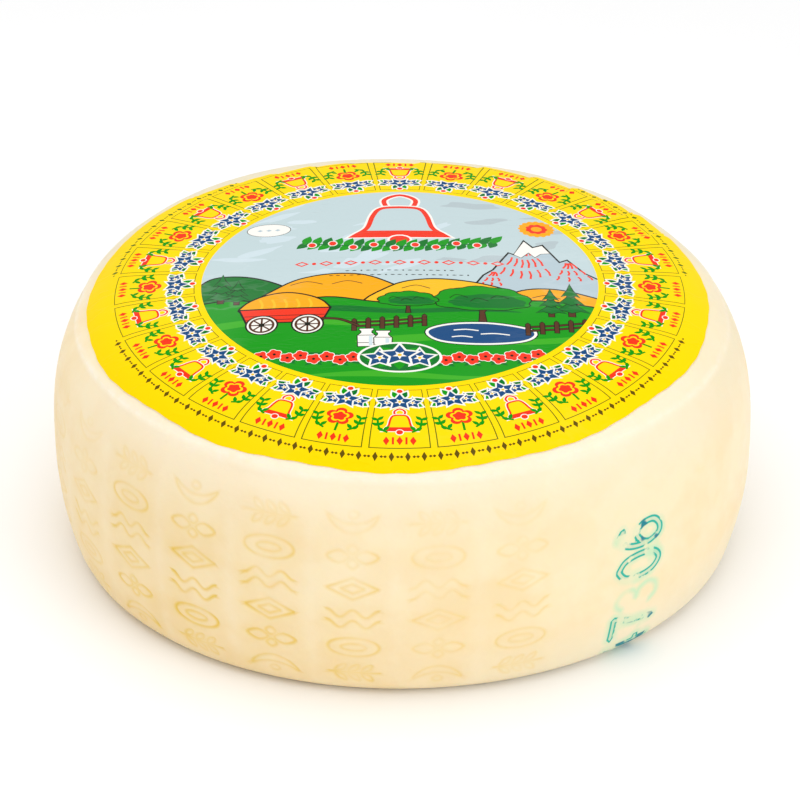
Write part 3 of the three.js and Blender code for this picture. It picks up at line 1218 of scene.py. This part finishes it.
def underside(rim_places):
    """Places and triangles of the film's plain underside. The first places are those of the rim."""
    filler = filled_out(rim_places, fold_gap=1.0, spacing=4.5)
    around, rim_around = np.arctan2(*filler.T[::-1]), np.arctan2(*rim_places.T[::-1])
    reach = np.interp(around, rim_around, np.hypot(*rim_places.T), period=2 * np.pi)
    clear = 0.8
    filler = filler[np.hypot(*filler.T) < reach - clear]
    places, faces = triangulate(np.vstack((rim_places, filler)), ring_edges(0, len(rim_places)))
    return places, faces[inside(places[faces].mean(axis=1), rim_places)]


def make_film(wheel, label, inks, ring_material, picture_material):
    """The film as one closed thin sheet, whose upper faces carry the print."""
    places, faces, face_inks = printed_faces(label, film_print(label))
    used, faces = np.unique(faces, return_inverse=True)
    faces = faces.reshape(-1, 3)
    places = places[used]
    rim = border(faces)
    below_places, below_faces = underside(places[rim])
    sink = 0.1 * MM * smooth_step(np.hypot(*below_places.T), 112, 120)
    upper = drape(wheel, label, places, label.lift + label.thickness)
    lower = drape(wheel, label, below_places, label.lift - sink)
    start = len(upper)
    wall = []
    for i, j in ring_edges(0, len(rim)):
        wall += [(rim[j], rim[i], start + i), (rim[j], start + i, start + j)]
    all_faces = np.vstack((faces, below_faces[:, ::-1] + start, wall))
    film = make_object("label_film", np.vstack((upper, lower)), all_faces, ring_material)
    mesh = film.data
    mesh.materials.append(picture_material)
    all_inks = np.zeros(len(all_faces), dtype=int)
    all_inks[:len(faces)] = face_inks
    palette = np.array([(*getattr(inks, name), 1.0) for name in INKS])
    layer = mesh.color_attributes.new("print", "FLOAT_COLOR", "CORNER")
    layer.data.foreach_set("color", np.repeat(palette[all_inks], 3, axis=0).astype(np.float32).ravel())
    in_picture = np.zeros(len(all_faces), dtype=np.int32)
    in_picture[:len(faces)] = np.hypot(*places[faces].mean(axis=1).T) < label.picture_radius / MM
    mesh.polygons.foreach_set("material_index", in_picture)
    mesh.set_sharp_from_angle(angle=math.radians(50))
    return film


# ---- Marks on the side ---------------------------------------------------------------------------


def mark_strokes():
    """The six marks of a column, from the lowest, as strokes in mm round the mark's middle."""
    def loop(points):
        curve = flowing(points, steps=3)
        return np.vstack((curve, curve[:1]))

    def wave(level):
        along = np.linspace(-12.5, 12.5, 21)
        return [(x, level + 2.1 * math.cos(x * math.pi / 6.25)) for x in along]

    def grain(x, side):
        return loop(((x, 0.7 * side), (x + 1.6, 4.2 * side), (x + 5.2, 5.6 * side), (x + 4.2, 2.2 * side)))

    sides = (-1, 1)
    ear = [[(-12.5, 0), (12.5, 0)]] + [grain(x, side) for x in (-9.5, -3.0, 3.5) for side in sides]
    ring = [loop(ellipse(0, 0, 12.5, 5.8, count=12)), loop(ellipse(0, 0, 6.0, 2.2, count=8))]
    waves = [wave(-3.0), wave(3.0)]
    lozenge = [[(-12.5, 0), (0, 6.0), (12.5, 0), (0, -6.0), (-12.5, 0)],
               [(-5.6, 0), (0, 2.6), (5.6, 0), (0, -2.6), (-5.6, 0)]]
    petals = [loop(placed(((1.5, 0), (6.5, 3.2), (12.5, 0), (6.5, -3.2)), (side, 1), 0, 0)) for side in sides]
    petals += [loop(placed(((0, 1.3), (2.6, 3.8), (0, 6.2), (-2.6, 3.8)), (1, side), 0, 0)) for side in sides]
    moon = [loop(((-12.5, 3.6), (-7.5, -2.6), (0, -5.2), (7.5, -2.6), (12.5, 3.6), (6.5, 0.6), (0, -0.6),
                  (-6.5, 0.6))),
            loop(ellipse(0, 3.8, 2.4, 1.8, count=6))]
    return [ear, ring, waves, lozenge, petals, moon]


def stroke_mesh(strokes):
    """Strokes as a mesh of edges."""
    points = []
    edges = []
    for stroke in strokes:
        start = len(points)
        points += [(x, y, 0) for x, y in stroke]
        edges += [(start + i, start + i + 1) for i in range(len(stroke) - 1)]
    mesh = bpy.data.meshes.new("strokes")
    mesh.from_pydata(points, edges, [])
    return mesh


def column_segments(marks, width_round):
    """Line pieces of all columns on the unrolled side, in metres, and each one's column."""
    signs = mark_strokes()
    middle_row = (len(signs) - 1) / 2
    strokes = [[(x * MM, y * MM + (row - middle_row) * marks.pitch) for x, y in stroke]
               for row, sign in enumerate(signs) for stroke in sign]
    step = width_round / marks.columns
    mesh = repeated(stroke_mesh(strokes), marks.columns, (step, 0, 0), math.pi)
    places = np.array([tuple(v.co)[:2] for v in mesh.vertices])
    places += (step / 2, marks.bottom + middle_row * marks.pitch)
    segments = np.array([(places[e.vertices[0]], places[e.vertices[1]]) for e in mesh.edges])
    column = (segments[:, :, 0].mean(axis=1) // step).astype(int)
    return segments, column


def away(points, segments):
    """Distance of each point from the nearest of the line pieces."""
    a, b = segments[:, 0][None], segments[:, 1][None]
    p = points[:, None]
    along = b - a
    t = np.clip(np.sum((p - a) * along, axis=-1) / np.sum(along**2, axis=-1), 0, 1)
    return np.linalg.norm(p - a - along * t[..., None], axis=-1).min(axis=1)


def beside(segments, offsets, spacing):
    """Points along line pieces, at several distances to both sides of them."""
    points = []
    for a, b in segments:
        run = b - a
        size = np.linalg.norm(run)
        steps = max(1, round(size / spacing))
        side = np.array((-run[1], run[0])) / size
        t = (np.arange(steps + 1) / steps)[:, None]
        line = a + run * t
        points.append([line + side * off for off in offsets])
    return [np.vstack([group[k] for group in points]) for k in range(len(offsets))]


FIGURES = {  # strokes of plain figures in a box 1 wide and 1 tall
    "3": [[(0.0, 0.86), (0.3, 1.0), (0.72, 0.94), (0.9, 0.74), (0.72, 0.56), (0.4, 0.52)],
          [(0.4, 0.52), (0.78, 0.46), (0.96, 0.24), (0.74, 0.04), (0.3, 0.0), (0.0, 0.14)]],
    "7": [[(0.0, 1.0), (1.0, 1.0), (0.7, 0.6), (0.42, 0.0)]],
    "0": [[(0.5, 1.0), (0.12, 0.84), (0.0, 0.5), (0.12, 0.16), (0.5, 0.0), (0.88, 0.16), (1.0, 0.5),
           (0.88, 0.84), (0.5, 1.0)]],
    "4": [[(0.76, 0.0), (0.76, 1.0), (0.0, 0.3), (1.0, 0.3)]],
    "6": [[(0.86, 0.92), (0.5, 1.0), (0.12, 0.76), (0.0, 0.36), (0.2, 0.04), (0.56, 0.0), (0.92, 0.16),
           (0.9, 0.44), (0.56, 0.58), (0.16, 0.46), (0.02, 0.3)]],
}
STAMP_FIGURES = "47306"
WORN_FIGURE = 2  # the place of the nearly worn one, counted from 0
FIGURE_HEIGHT = 0.025
FIGURE_WIDTH = 0.0125
FIGURE_GAP = 0.005


def stamp_segments(marks, width_round):
    """Line pieces of each of the stamp's figures, which are turned on their side and read upwards."""
    across = ((marks.stamp_turn - seam_turn(marks)) % (2 * math.pi)) / (2 * math.pi) * width_round
    figures = []
    for k, figure in enumerate(STAMP_FIGURES):
        foot = marks.stamp_bottom + k * (FIGURE_WIDTH + FIGURE_GAP)
        segments = []
        for stroke in FIGURES[figure]:
            curve = flowing(stroke, closed=False, steps=5) if len(stroke) > 4 else np.array(stroke)
            sideways = across + (0.5 - curve[:, 1]) * FIGURE_HEIGHT
            places = np.stack((sideways, foot + curve[:, 0] * FIGURE_WIDTH), axis=-1)
            segments += list(zip(places[:-1], places[1:]))
        figures.append(np.array(segments))
    return figures


def seam_turn(marks):
    """Direction of the line at the back, between two columns, where the unrolled side begins."""
    step = 2 * math.pi / marks.columns
    return marks.first + (marks.columns // 2 + 0.5) * step


def column_strength(marks, column):
    """How clearly a column shows: worn to the right of the front, and none round the stamp."""
    step = 2 * math.pi / marks.columns
    turn = (seam_turn(marks) + (column + 0.5) * step + math.pi) % (2 * math.pi) - math.pi
    if marks.plain_from < turn < marks.plain_to:
        return 0.0
    turns = np.radians((-90, -66, -56, -40, -28, -10, 8, 24, 90))
    return float(np.interp(turn, turns, (0.6, 0.4, 0.72, 1.0, 0.95, 0.7, 0.42, 0.42, 0.6)))


class Strip:
    """The wheel's side, unrolled. s is the distance round it from the back and r the distance up it."""

    count = 336  # pieces of its upper and lower edges

    def __init__(self, wheel, marks):
        self.wheel = wheel
        self.seam = seam_turn(marks)
        self.run, self.radius, self.height = side_outline(wheel, wheel.shoulder_start - 0.004)
        self.width = 2 * math.pi * wheel.belly_radius
        self.top = self.run[-1]
        self.spacing = self.width / self.count

    def turn(self, s):
        """Direction of a place, from +X."""
        return self.seam - math.pi / 2 + 2 * math.pi * s / self.width

    def points(self, s, r):
        radius, height = np.interp(r, self.run, self.radius), np.interp(r, self.run, self.height)
        return stand(self.wheel, radius, height, self.turn(s))

    def normals(self, s, r):
        probe = 2e-4
        along = self.points(s + probe, r) - self.points(s - probe, r)
        climb = self.points(s, np.minimum(r + probe, self.top)) - self.points(s, np.maximum(r - probe, 0))
        return unit(np.cross(along, climb))


MARK_GAPS = (0.0005, 0.0005, 0.0006, 0.0011)  # between vertices, for each group of places near marks


def strip_mesh(strip, near_marks):
    """Places on the strip and triangles between them, with the two ends joined at the back.

    near_marks has groups of places along the marks. They go before the honeycomb that fills the rest.
    """
    top, width, spacing = strip.top, strip.width, strip.spacing
    rows = max(2, round(top / (spacing * math.sqrt(3) / 2)))
    filler = grid_points((spacing / 2, top / rows), (width - spacing / 4, top - top / rows / 2), spacing)
    inner = thinned((*near_marks, filler), (*MARK_GAPS, spacing * 0.42))
    clear = spacing * 0.3
    inner = inner[(inner > clear).all(axis=1) & (inner < (width - clear, top - clear)).all(axis=1)]
    across = np.arange(strip.count + 1) * spacing
    up = np.linspace(0, top, rows + 1)[1:-1]
    frame_points = [np.stack((across, np.full_like(across, level)), axis=-1) for level in (0, top)]
    frame_points += [np.stack((np.full_like(up, end), up), axis=-1) for end in (0, width)]
    places, faces = triangulate(np.vstack((*frame_points, inner)) / MM)
    places = places * MM
    close = 1e-5
    left = np.flatnonzero(places[:, 0] < close)
    twin = np.arange(len(places))
    for i in np.flatnonzero(places[:, 0] > width - close):
        twin[i] = left[np.argmin(np.abs(places[left, 1] - places[i, 1]))]
    return places, twin[faces]


def pressed_marks(strip, marks, places, segments, column, strength):
    """How deep each place lies in a mark, and how far it is stained or heaped up by one."""
    grooves = np.zeros(len(places))
    stain = np.zeros(len(places))
    lips = np.zeros(len(places))
    step = strip.width / marks.columns
    half = marks.width / 2
    stain_reach = 0.0042
    for k in np.flatnonzero(strength):
        here = np.flatnonzero((places[:, 0] // step).astype(int) == k)
        s, r = places[here].T
        distance = away(places[here], segments[column == k])
        off = np.abs(s - (k + 0.5) * step)
        fade = np.interp(off, (0.005, 0.0115), (0.62, 1.0)) * np.interp(r, (0.06, 0.112), (1, 0.42))
        clear = strength[k] * fade
        closeness = np.clip(1 - distance / half, 0, 1)
        grooves[here] = closeness**2 * (3 - 2 * closeness) * clear
        lips[here] = np.exp(-(((distance - 1.5 * half) / (0.45 * half)) ** 2)) * clear
        stain[here] = np.exp(-distance / stain_reach) * clear
    return grooves, stain, lips


def soft_ridges(strip, marks, places, strength):
    """Height and paleness of the shoulder's waxy ridge and of the seams between the columns."""
    wheel = strip.wheel
    ridge_width, seam_width = 0.0018, 0.0026
    s, r = places.T
    turn = strip.turn(s)
    off = r - wheel.ridge_place - 0.0028 * np.cos(turn) ** 2
    waver = 0.66 + 0.3 * np.cos(turn - math.radians(200)) + 0.14 * np.sin(7 * turn + 1.0) * np.sin(4 * turn)
    ridge = np.exp(-((off / ridge_width) ** 2)) * waver
    step = strip.width / marks.columns
    column = np.minimum((s // step).astype(int), marks.columns - 1)
    edge = np.minimum(s % step, step - s % step)
    inward = np.where(s % step < step / 2, -1, 1)
    both = np.minimum(strength[column], strength[(column + inward) % marks.columns])
    reach = np.interp(r, (0.008, 0.02, 0.098, 0.118), (0, 1, 1, 0))
    seam = np.exp(-((edge / seam_width) ** 2)) * both * reach
    height = wheel.ridge_height * ridge + marks.seam_height * seam
    plateau = 0.16 * np.interp(off, (-0.003, 0.0005, 0.009), (0, 1, 0.35))
    return height, np.clip(np.maximum(ridge, plateau) + 0.22 * seam, 0, 1)


FAR_FROM_INK = 9.0  # mm, where the ink is no longer followed


def ink_distances(places, stamp):
    """Distance in mm of each place from the stamp's strokes. The middle figure is nearly worn away."""
    ink = np.full(len(places), FAR_FROM_INK)
    reach = FAR_FROM_INK * MM
    strokes = np.vstack(stamp).reshape(-1, 2)
    near = (places >= strokes.min(axis=0) - reach) & (places <= strokes.max(axis=0) + reach)
    here = np.flatnonzero(near.all(axis=1))
    for k, figure in enumerate(stamp):
        worn = 2.3 if k == WORN_FIGURE else 0.0
        ink[here] = np.minimum(ink[here], away(places[here], figure) / MM + worn)
    return ink


def close_over(wheel, strip, ring, rings, flat, first_index):
    """Rings of points and faces that close the top or the flat base, from its outer ring inwards."""
    new_points = []
    faces = []
    index = first_index
    for count, radius in (*rings, (1, 0.0)):
        turns = strip.turn(np.arange(count) * strip.width / count)
        height = 0.0 if flat else top_height(wheel, np.full(count, radius))
        points = stand(wheel, radius, height, turns)
        if not flat:
            points, normals = top_surface(wheel, points[:, 0], points[:, 1])
            points = points + normals * dents(wheel, points)[:, None]
        new_points.append(points)
        following = list(range(index, index + count))
        index += count
        if count > 1:
            faces += bridge(ring, following)
        else:
            faces += [(a, b, following[0]) for a, b in zip(ring, ring[1:] + ring[:1])]
        ring = following
    return new_points, [face[::-1] for face in faces] if flat else faces


TOP_RINGS = ((336, 0.123), (168, 0.117), (168, 0.110), (168, 0.102), (84, 0.092), (84, 0.080),
             (84, 0.066), (42, 0.050), (42, 0.034), (21, 0.017))  # vertices and radius of each
BASE_RINGS = ((168, 0.140), (84, 0.110), (42, 0.070), (21, 0.030))


def places_near(marks, segments, stamp):
    """Groups of places along the marks and the stamp's strokes, each farther off than the last."""
    half = marks.width / 2
    core, *flanks = beside(segments, half * np.array((0, 0.48, -0.48, 1, -1)), spacing=0.00125)
    lips = beside(segments, half * np.array((1.6, -1.6)), spacing=0.0022)
    ink = beside(np.vstack(stamp), MM * np.array((0, 1.1, -1.1, 2.1, -2.1, 3.4, -3.4)), spacing=0.0011)
    groups = ((core, ink[0]), (*flanks[:2], *ink[1:3]), (*flanks[2:], *ink[3:]), lips)
    return [np.vstack(group) for group in groups]


def make_rind(wheel, marks, material):
    """The wheel as one closed mesh, with its marks pressed in."""
    strip = Strip(wheel, marks)
    segments, column = column_segments(marks, strip.width)
    strength = np.array([column_strength(marks, k) for k in range(marks.columns)])
    segments, column = segments[strength[column] > 0], column[strength[column] > 0]
    stamp = stamp_segments(marks, strip.width)
    places, faces = strip_mesh(strip, places_near(marks, segments, stamp))
    grooves, stain, lips = pressed_marks(strip, marks, places, segments, column, strength)
    ridge_height, bloom = soft_ridges(strip, marks, places, strength)
    s, r = places.T
    points = strip.points(s, r)
    stand_out = dents(wheel, points) * np.clip(r / 0.014, 0, 1) + ridge_height
    stand_out += marks.depth * (0.2 * lips - grooves)
    points = points + strip.normals(s, r) * stand_out[:, None]

    all_points = [points]
    all_faces = faces.tolist()
    across = np.arange(strip.count) * strip.spacing
    for level, rings, flat in ((strip.top, TOP_RINGS, False), (0, BASE_RINGS, True)):
        ring = find_ring(places, level, across)
        total = sum(len(group) for group in all_points)
        new_points, new_faces = close_over(wheel, strip, ring, rings, flat, total)
        all_points += new_points
        all_faces += new_faces
    points = np.vstack(all_points) - middle(wheel)
    kept, flat_faces = np.unique(np.concatenate(all_faces), return_inverse=True)
    stops = np.cumsum([len(face) for face in all_faces])[:-1]
    kept_faces = [part.tolist() for part in np.split(flat_faces, stops)]
    piece = make_object("rind", points[kept], kept_faces, material)
    extra = len(points) - len(places)
    ink = ink_distances(places, stamp)
    for name, values, elsewhere in (("groove", grooves, 0), ("stain", stain, 0), ("bloom", bloom, 0),
                                    ("ink_distance", ink, FAR_FROM_INK)):
        set_values(piece.data, name, np.concatenate((values, np.full(extra, elsewhere)))[kept])
    return piece


def find_ring(places, level, across):
    """Vertices of the unrolled side at a level, one for each place across."""
    row = np.flatnonzero(np.abs(places[:, 1] - level) < 1e-6)
    return [int(row[np.argmin(np.abs(places[row, 0] - s))]) for s in across]


# ---- Materials -----------------------------------------------------------------------------------


def shader_group(name, inputs, outputs, build):
    """A node group with named inputs and outputs, made once."""
    tree = bpy.data.node_groups.get(name)
    if tree:
        return tree
    tree = bpy.data.node_groups.new(name, "ShaderNodeTree")
    for key, default in inputs:
        socket = tree.interface.new_socket(key, in_out="INPUT", socket_type="NodeSocketFloat")
        socket.default_value = default
    for key in outputs:
        tree.interface.new_socket(key, in_out="OUTPUT", socket_type="NodeSocketFloat")
    g = Graph(tree)
    results = build(g, g.node("NodeGroupInput").outputs)
    g.node("NodeGroupOutput", **dict(zip(outputs, results)))
    return tree


def soft_mottle():
    """Cloudy unevenness at a size, as a mask and a height."""
    def build(g, given):
        broad = g.noise(given["Scale"], 3.0, 0.55)
        fine = g.noise(g.times(given["Scale"], 6.0))
        return g.between(broad, 0.36, 0.66), g.math("ADD", broad, g.times(fine, given["Fine"]))
    return shader_group("soft_mottle", (("Scale", 20.0), ("Fine", 0.3)), ("Mask", "Height"), build)


def film_wrinkle():
    """Fine creases of a thin film, as a height and a mask of painted sheen: pale streaks of painted
    reflection along the creases, and soft pale patches between them.
    """
    def build(g, given):
        drawn_out = g.node("ShaderNodeMapping", Vector=g.place(), Scale=(1.0, 2.2, 1.0),
                           Rotation=(0.0, 0.0, 0.5)).outputs[0]
        broad = g.noise(given["Scale"], 4.0, 0.6, place=drawn_out)
        ridge = g.math("ABSOLUTE", g.math("SUBTRACT", broad, 0.5))
        crease = g.between(ridge, 0.0, 0.035, 1.0, 0.0)
        where = g.between(g.noise(9.0), 0.42, 0.62)
        # Painted reflection: pale streaks along the creases and soft patches, which the Haze output mixes
        # into the print as if light glanced off the film.
        streaks = g.times(g.times(crease, where), 0.7)
        haze = g.times(g.math("ADD", streaks, g.times(where, 0.3)), given["Haze"])
        return g.math("ADD", broad, g.times(crease, 0.25)), haze
    return shader_group("film_wrinkle", (("Scale", 24.0), ("Haze", 0.3)), ("Height", "Haze"), build)


def rind_tone(g, colours, mottle):
    """Cream of the rind: yellower low at the left, with a painted highlight that makes the shoulder paler in
    front, and a painted shade that makes the shoulder at the back and right duller.
    """
    x, y, z = g.node("ShaderNodeSeparateXYZ", Vector=g.place()).outputs
    low = g.times(g.between(z, 0.004, 0.062, 1.0, 0.0), g.between(x, -0.04, 0.11, 1.0, 0.25))
    left = g.times(g.between(x, -0.175, 0.05, 1.0, 0.0), g.between(z, 0.03, 0.125, 1.0, 0.3))
    deep = g.math("ADD", g.times(low, 0.3), g.times(left, 0.6))
    blotches = g.between(g.noise(42.0, 3.0, 0.6), 0.4, 0.62, -0.1, 0.14)
    deep = g.math("ADD", g.math("ADD", deep, g.times(mottle, 0.4)), blotches, clamp=True)
    tone = g.mix(deep, colours.body, colours.deep)
    # Painted highlight: the high shoulder in front is mixed towards the pale cream, so that it looks lit from
    # above and in front.
    high = g.between(z, 0.084, 0.124)
    front = g.between(y, -0.14, -0.02, 1.0, 0.0)
    tone = g.mix(g.times(g.times(high, front), 0.7), tone, colours.pale)
    # Painted shade: the high shoulder at the back and at the right is mixed towards the duller rim cream.
    painted_back_shade = g.math("MAXIMUM", g.between(y, -0.04, 0.08), g.between(x, 0.1, 0.165, 0.0, 0.6))
    tone = g.mix(g.times(g.times(high, painted_back_shade), 0.9), tone, colours.rim)
    foot = g.times(g.between(z, 0.002, 0.045, 0.75, 0.0), g.between(x, -0.02, 0.09))
    tone = g.mix(foot, tone, colours.foot)
    crumbs = g.between(g.noise(150.0, 3.0, 0.6), 0.36, 0.6, 0.5, 0.95)
    return g.mix(g.times(g.attribute("bloom"), crumbs), tone, colours.wax)


def marked_tone(g, colours, tone):
    """Ochre in the pressed marks and a stain round them."""
    worn = g.between(g.noise(60.0), 0.3, 0.62, 0.5, 1.0)
    tint = g.times(g.math("POWER", g.attribute("groove"), 1.1), worn)
    stain = g.times(g.attribute("stain"), g.between(g.noise(32.0), 0.35, 0.65, 0.04, 0.26))
    return g.mix(tint, g.mix(stain, tone, colours.mark), colours.mark)


def stamped_tone(g, colours, tone):
    """Ink of the stamp: the broken double edge of each stroke, blots, and a pale bleed round them."""
    distance = g.attribute("ink_distance")
    worn = g.between(g.noise(45.0), 0.38, 0.6, 0.4, 0.95)
    tone = g.mix(g.times(g.between(distance, 1.8, 6.0, 1.0, 0.0), worn), tone, colours.bleed)
    rim = g.times(g.between(distance, 0.6, 1.0, 0.2, 1.0), g.between(distance, 1.7, 2.2, 1.0, 0.0))
    broken = g.between(g.noise(105.0, 3.0, 0.6), 0.42, 0.5)
    tone = g.mix(g.times(rim, broken), tone, colours.ink)
    blots = g.between(g.noise(88.0, 1.0), 0.57, 0.63)
    return g.mix(g.times(g.between(distance, 1.6, 2.4, 1.0, 0.0), blots), tone, colours.blot)


def specked_tone(g, tone):
    """A few tiny dark specks."""
    field = g.node("ShaderNodeTexVoronoi", Vector=g.place(), Scale=38.0).outputs
    chance = g.node("ShaderNodeSeparateColor", Color=field["Color"]).outputs[0]
    rare = g.math("GREATER_THAN", chance, 0.96)
    speck = g.times(g.between(field["Distance"], 0.02, 0.045, 0.7, 0.0), rare)
    return g.mix(speck, tone, linear(110, 84, 40))


def new_material(name):
    """A material with the words for building its nodes, and the inputs of its shader."""
    material = bpy.data.materials.new(name)
    material.use_nodes = True
    return material, Graph(material.node_tree), material.node_tree.nodes["Principled BSDF"].inputs


def rind_material(colours):
    """Waxy cream rind with its marks, its stamp and a few specks."""
    material, g, shader = new_material("waxy_rind")
    mottle = g.group(soft_mottle(), Scale=17.0, Fine=0.35)
    pores = g.group(soft_mottle(), Scale=90.0, Fine=0.6)
    tone = marked_tone(g, colours, rind_tone(g, colours, mottle["Mask"]))
    tone = specked_tone(g, stamped_tone(g, colours, tone))
    height = g.math("ADD", mottle["Height"], g.times(pores["Height"], 0.18))
    g.set(shader["Base Color"], tone)
    g.set(shader["Roughness"], g.between(pores["Height"], 0.4, 1.0, 0.34, 0.5))
    g.set(shader["Normal"], g.bump(0.4, 0.0022, height))
    g.set(shader["Subsurface Weight"], 0.3)
    g.set(shader["Subsurface Radius"], (1.0, 0.7, 0.4))
    g.set(shader["Subsurface Scale"], 0.005)
    g.set(shader["Specular IOR Level"], 0.3)
    return material


def film_material(name, haze, roughness, gloss, wrinkles):
    """Glossy printed film. The print is in the mesh's own colours, whitened in streaks and patches by a
    painted sheen of reflections.
    """
    material, g, shader = new_material(name)
    wrinkle = g.group(film_wrinkle(), Scale=wrinkles, Haze=haze)
    mottle = g.group(soft_mottle(), Scale=30.0, Fine=0.4)
    # Painted reflection: the haze mask whitens the print towards a bluish white.
    g.set(shader["Base Color"], g.mix(wrinkle["Haze"], g.attribute("print", "Color"), (0.93, 0.96, 0.98)))
    g.set(shader["Roughness"], g.between(mottle["Height"], 0.4, 0.9, roughness, roughness + 0.1))
    g.set(shader["Normal"], g.bump(0.3, 0.0012, wrinkle["Height"]))
    g.set(shader["Specular IOR Level"], gloss)
    return material


def floor_material():
    """Plain matt white with a trace of mottle."""
    material, g, shader = new_material("studio_white")
    mottle = g.group(soft_mottle(), Scale=3.0, Fine=0.2)
    g.set(shader["Base Color"], g.mix(mottle["Mask"], (0.96, 0.96, 0.96), (0.97, 0.97, 0.97)))
    g.set(shader["Roughness"], 0.9)
    return material


# ---- Operators -----------------------------------------------------------------------------------


class CHEESE_OT_studio(bpy.types.Operator):
    """Make the white floor, the soft lights and the camera"""

    bl_idname = "cheese.studio"
    bl_label = "Studio"

    def execute(self, context):
        settings = context.scene.cheese_studio
        half = 12.0
        corners_of_floor = ((-half, -half, 0), (half, -half, 0), (half, half, 0), (-half, half, 0))
        floor = make_object("floor", corners_of_floor, ((0, 1, 2, 3),), floor_material(), smooth=False)
        world = bpy.data.worlds.new("white_room")
        context.scene.world = world
        world.use_nodes = True
        background = world.node_tree.nodes["Background"]
        background.inputs["Color"].default_value = (1, 1, 1, 1)
        background.inputs["Strength"].default_value = settings.room
        self.soft_light("overhead_light", settings.overhead, size=1.6, place=(-0.15, -0.1, 1.5))
        self.soft_light("side_light", settings.side, size=1.0, place=(1.1, -1.1, 0.9))
        self.camera(context, settings)
        context.scene.view_settings.view_transform = "Standard"
        return {"FINISHED"}

    def soft_light(self, name, power, size, place):
        light = bpy.data.lights.new(name, "AREA")
        light.energy = power
        light.shape = "DISK"
        light.size = size
        lamp = bpy.data.objects.new(name, light)
        lamp.location = place
        aim = Vector((0, 0, 0.07)) - lamp.location
        lamp.rotation_euler = aim.to_track_quat("-Z", "Y").to_euler()
        bpy.context.collection.objects.link(lamp)

    def camera(self, context, settings):
        data = bpy.data.cameras.new("camera")
        data.lens = settings.lens
        data.sensor_width = 36
        camera = bpy.data.objects.new("camera", data)
        away_from_aim = Vector((0, -math.cos(settings.elevation), math.sin(settings.elevation)))
        camera.location = Vector(settings.aim) + away_from_aim * settings.distance
        camera.rotation_euler = (math.pi / 2 - settings.tilt, 0, 0)
        context.collection.objects.link(camera)
        context.scene.camera = camera


class CHEESE_OT_rind(bpy.types.Operator):
    """Make the wheel of cheese with its pressed marks and its stamp"""

    bl_idname = "cheese.rind"
    bl_label = "Cheese wheel"

    def execute(self, context):
        scene = context.scene
        material = rind_material(scene.cheese_rind)
        piece = make_rind(scene.cheese_wheel, scene.cheese_marks, material)
        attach(piece, BODY)
        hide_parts("cheese_wheel")
        return {"FINISHED"}


class CHEESE_OT_label(bpy.types.Operator):
    """Make the film label with its print"""

    bl_idname = "cheese.label"
    bl_label = "Printed label"

    def execute(self, context):
        scene = context.scene
        # haze is the strength of each film's painted sheen of reflections.
        ring = film_material("ring_film", haze=0.01, roughness=0.32, gloss=0.03, wrinkles=22.0)
        picture = film_material("picture_film", haze=0.08, roughness=0.28, gloss=0.09, wrinkles=17.0)
        piece = make_film(scene.cheese_wheel, scene.cheese_label, scene.cheese_print, ring, picture)
        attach(piece, BODY)
        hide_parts("label")
        return {"FINISHED"}


class CHEESE_PT_panel(bpy.types.Panel):
    """Steps that make the cheese, in order"""

    bl_idname = "CHEESE_PT_panel"
    bl_label = "Cheese wheel"
    bl_space_type = "VIEW_3D"
    bl_region_type = "UI"
    bl_category = "Cheese"

    def draw(self, context):
        for operator in OPERATORS:
            self.layout.operator(operator.bl_idname)
        for name in GROUPS:
            box = self.layout.box()
            settings = getattr(context.scene, name)
            for key in settings.__annotations__:
                box.prop(settings, key)


OPERATORS = (CHEESE_OT_studio, CHEESE_OT_rind, CHEESE_OT_label)
GROUPS = {
    "cheese_wheel": WheelSizes,
    "cheese_marks": MarkSizes,
    "cheese_label": LabelSizes,
    "cheese_rind": RindColours,
    "cheese_print": PrintColours,
    "cheese_studio": StudioSettings,
}


def register():
    for kind in (*GROUPS.values(), *OPERATORS, CHEESE_PT_panel):
        bpy.utils.register_class(kind)
    for name, kind in GROUPS.items():
        setattr(bpy.types.Scene, name, bpy.props.PointerProperty(type=kind))


def unregister():
    for name in GROUPS:
        delattr(bpy.types.Scene, name)
    for kind in reversed((*GROUPS.values(), *OPERATORS, CHEESE_PT_panel)):
        bpy.utils.unregister_class(kind)


def main():
    register()
    bpy.ops.cheese.studio()
    bpy.ops.cheese.rind()
    bpy.ops.cheese.label()


if __name__ == "__main__":
    main()
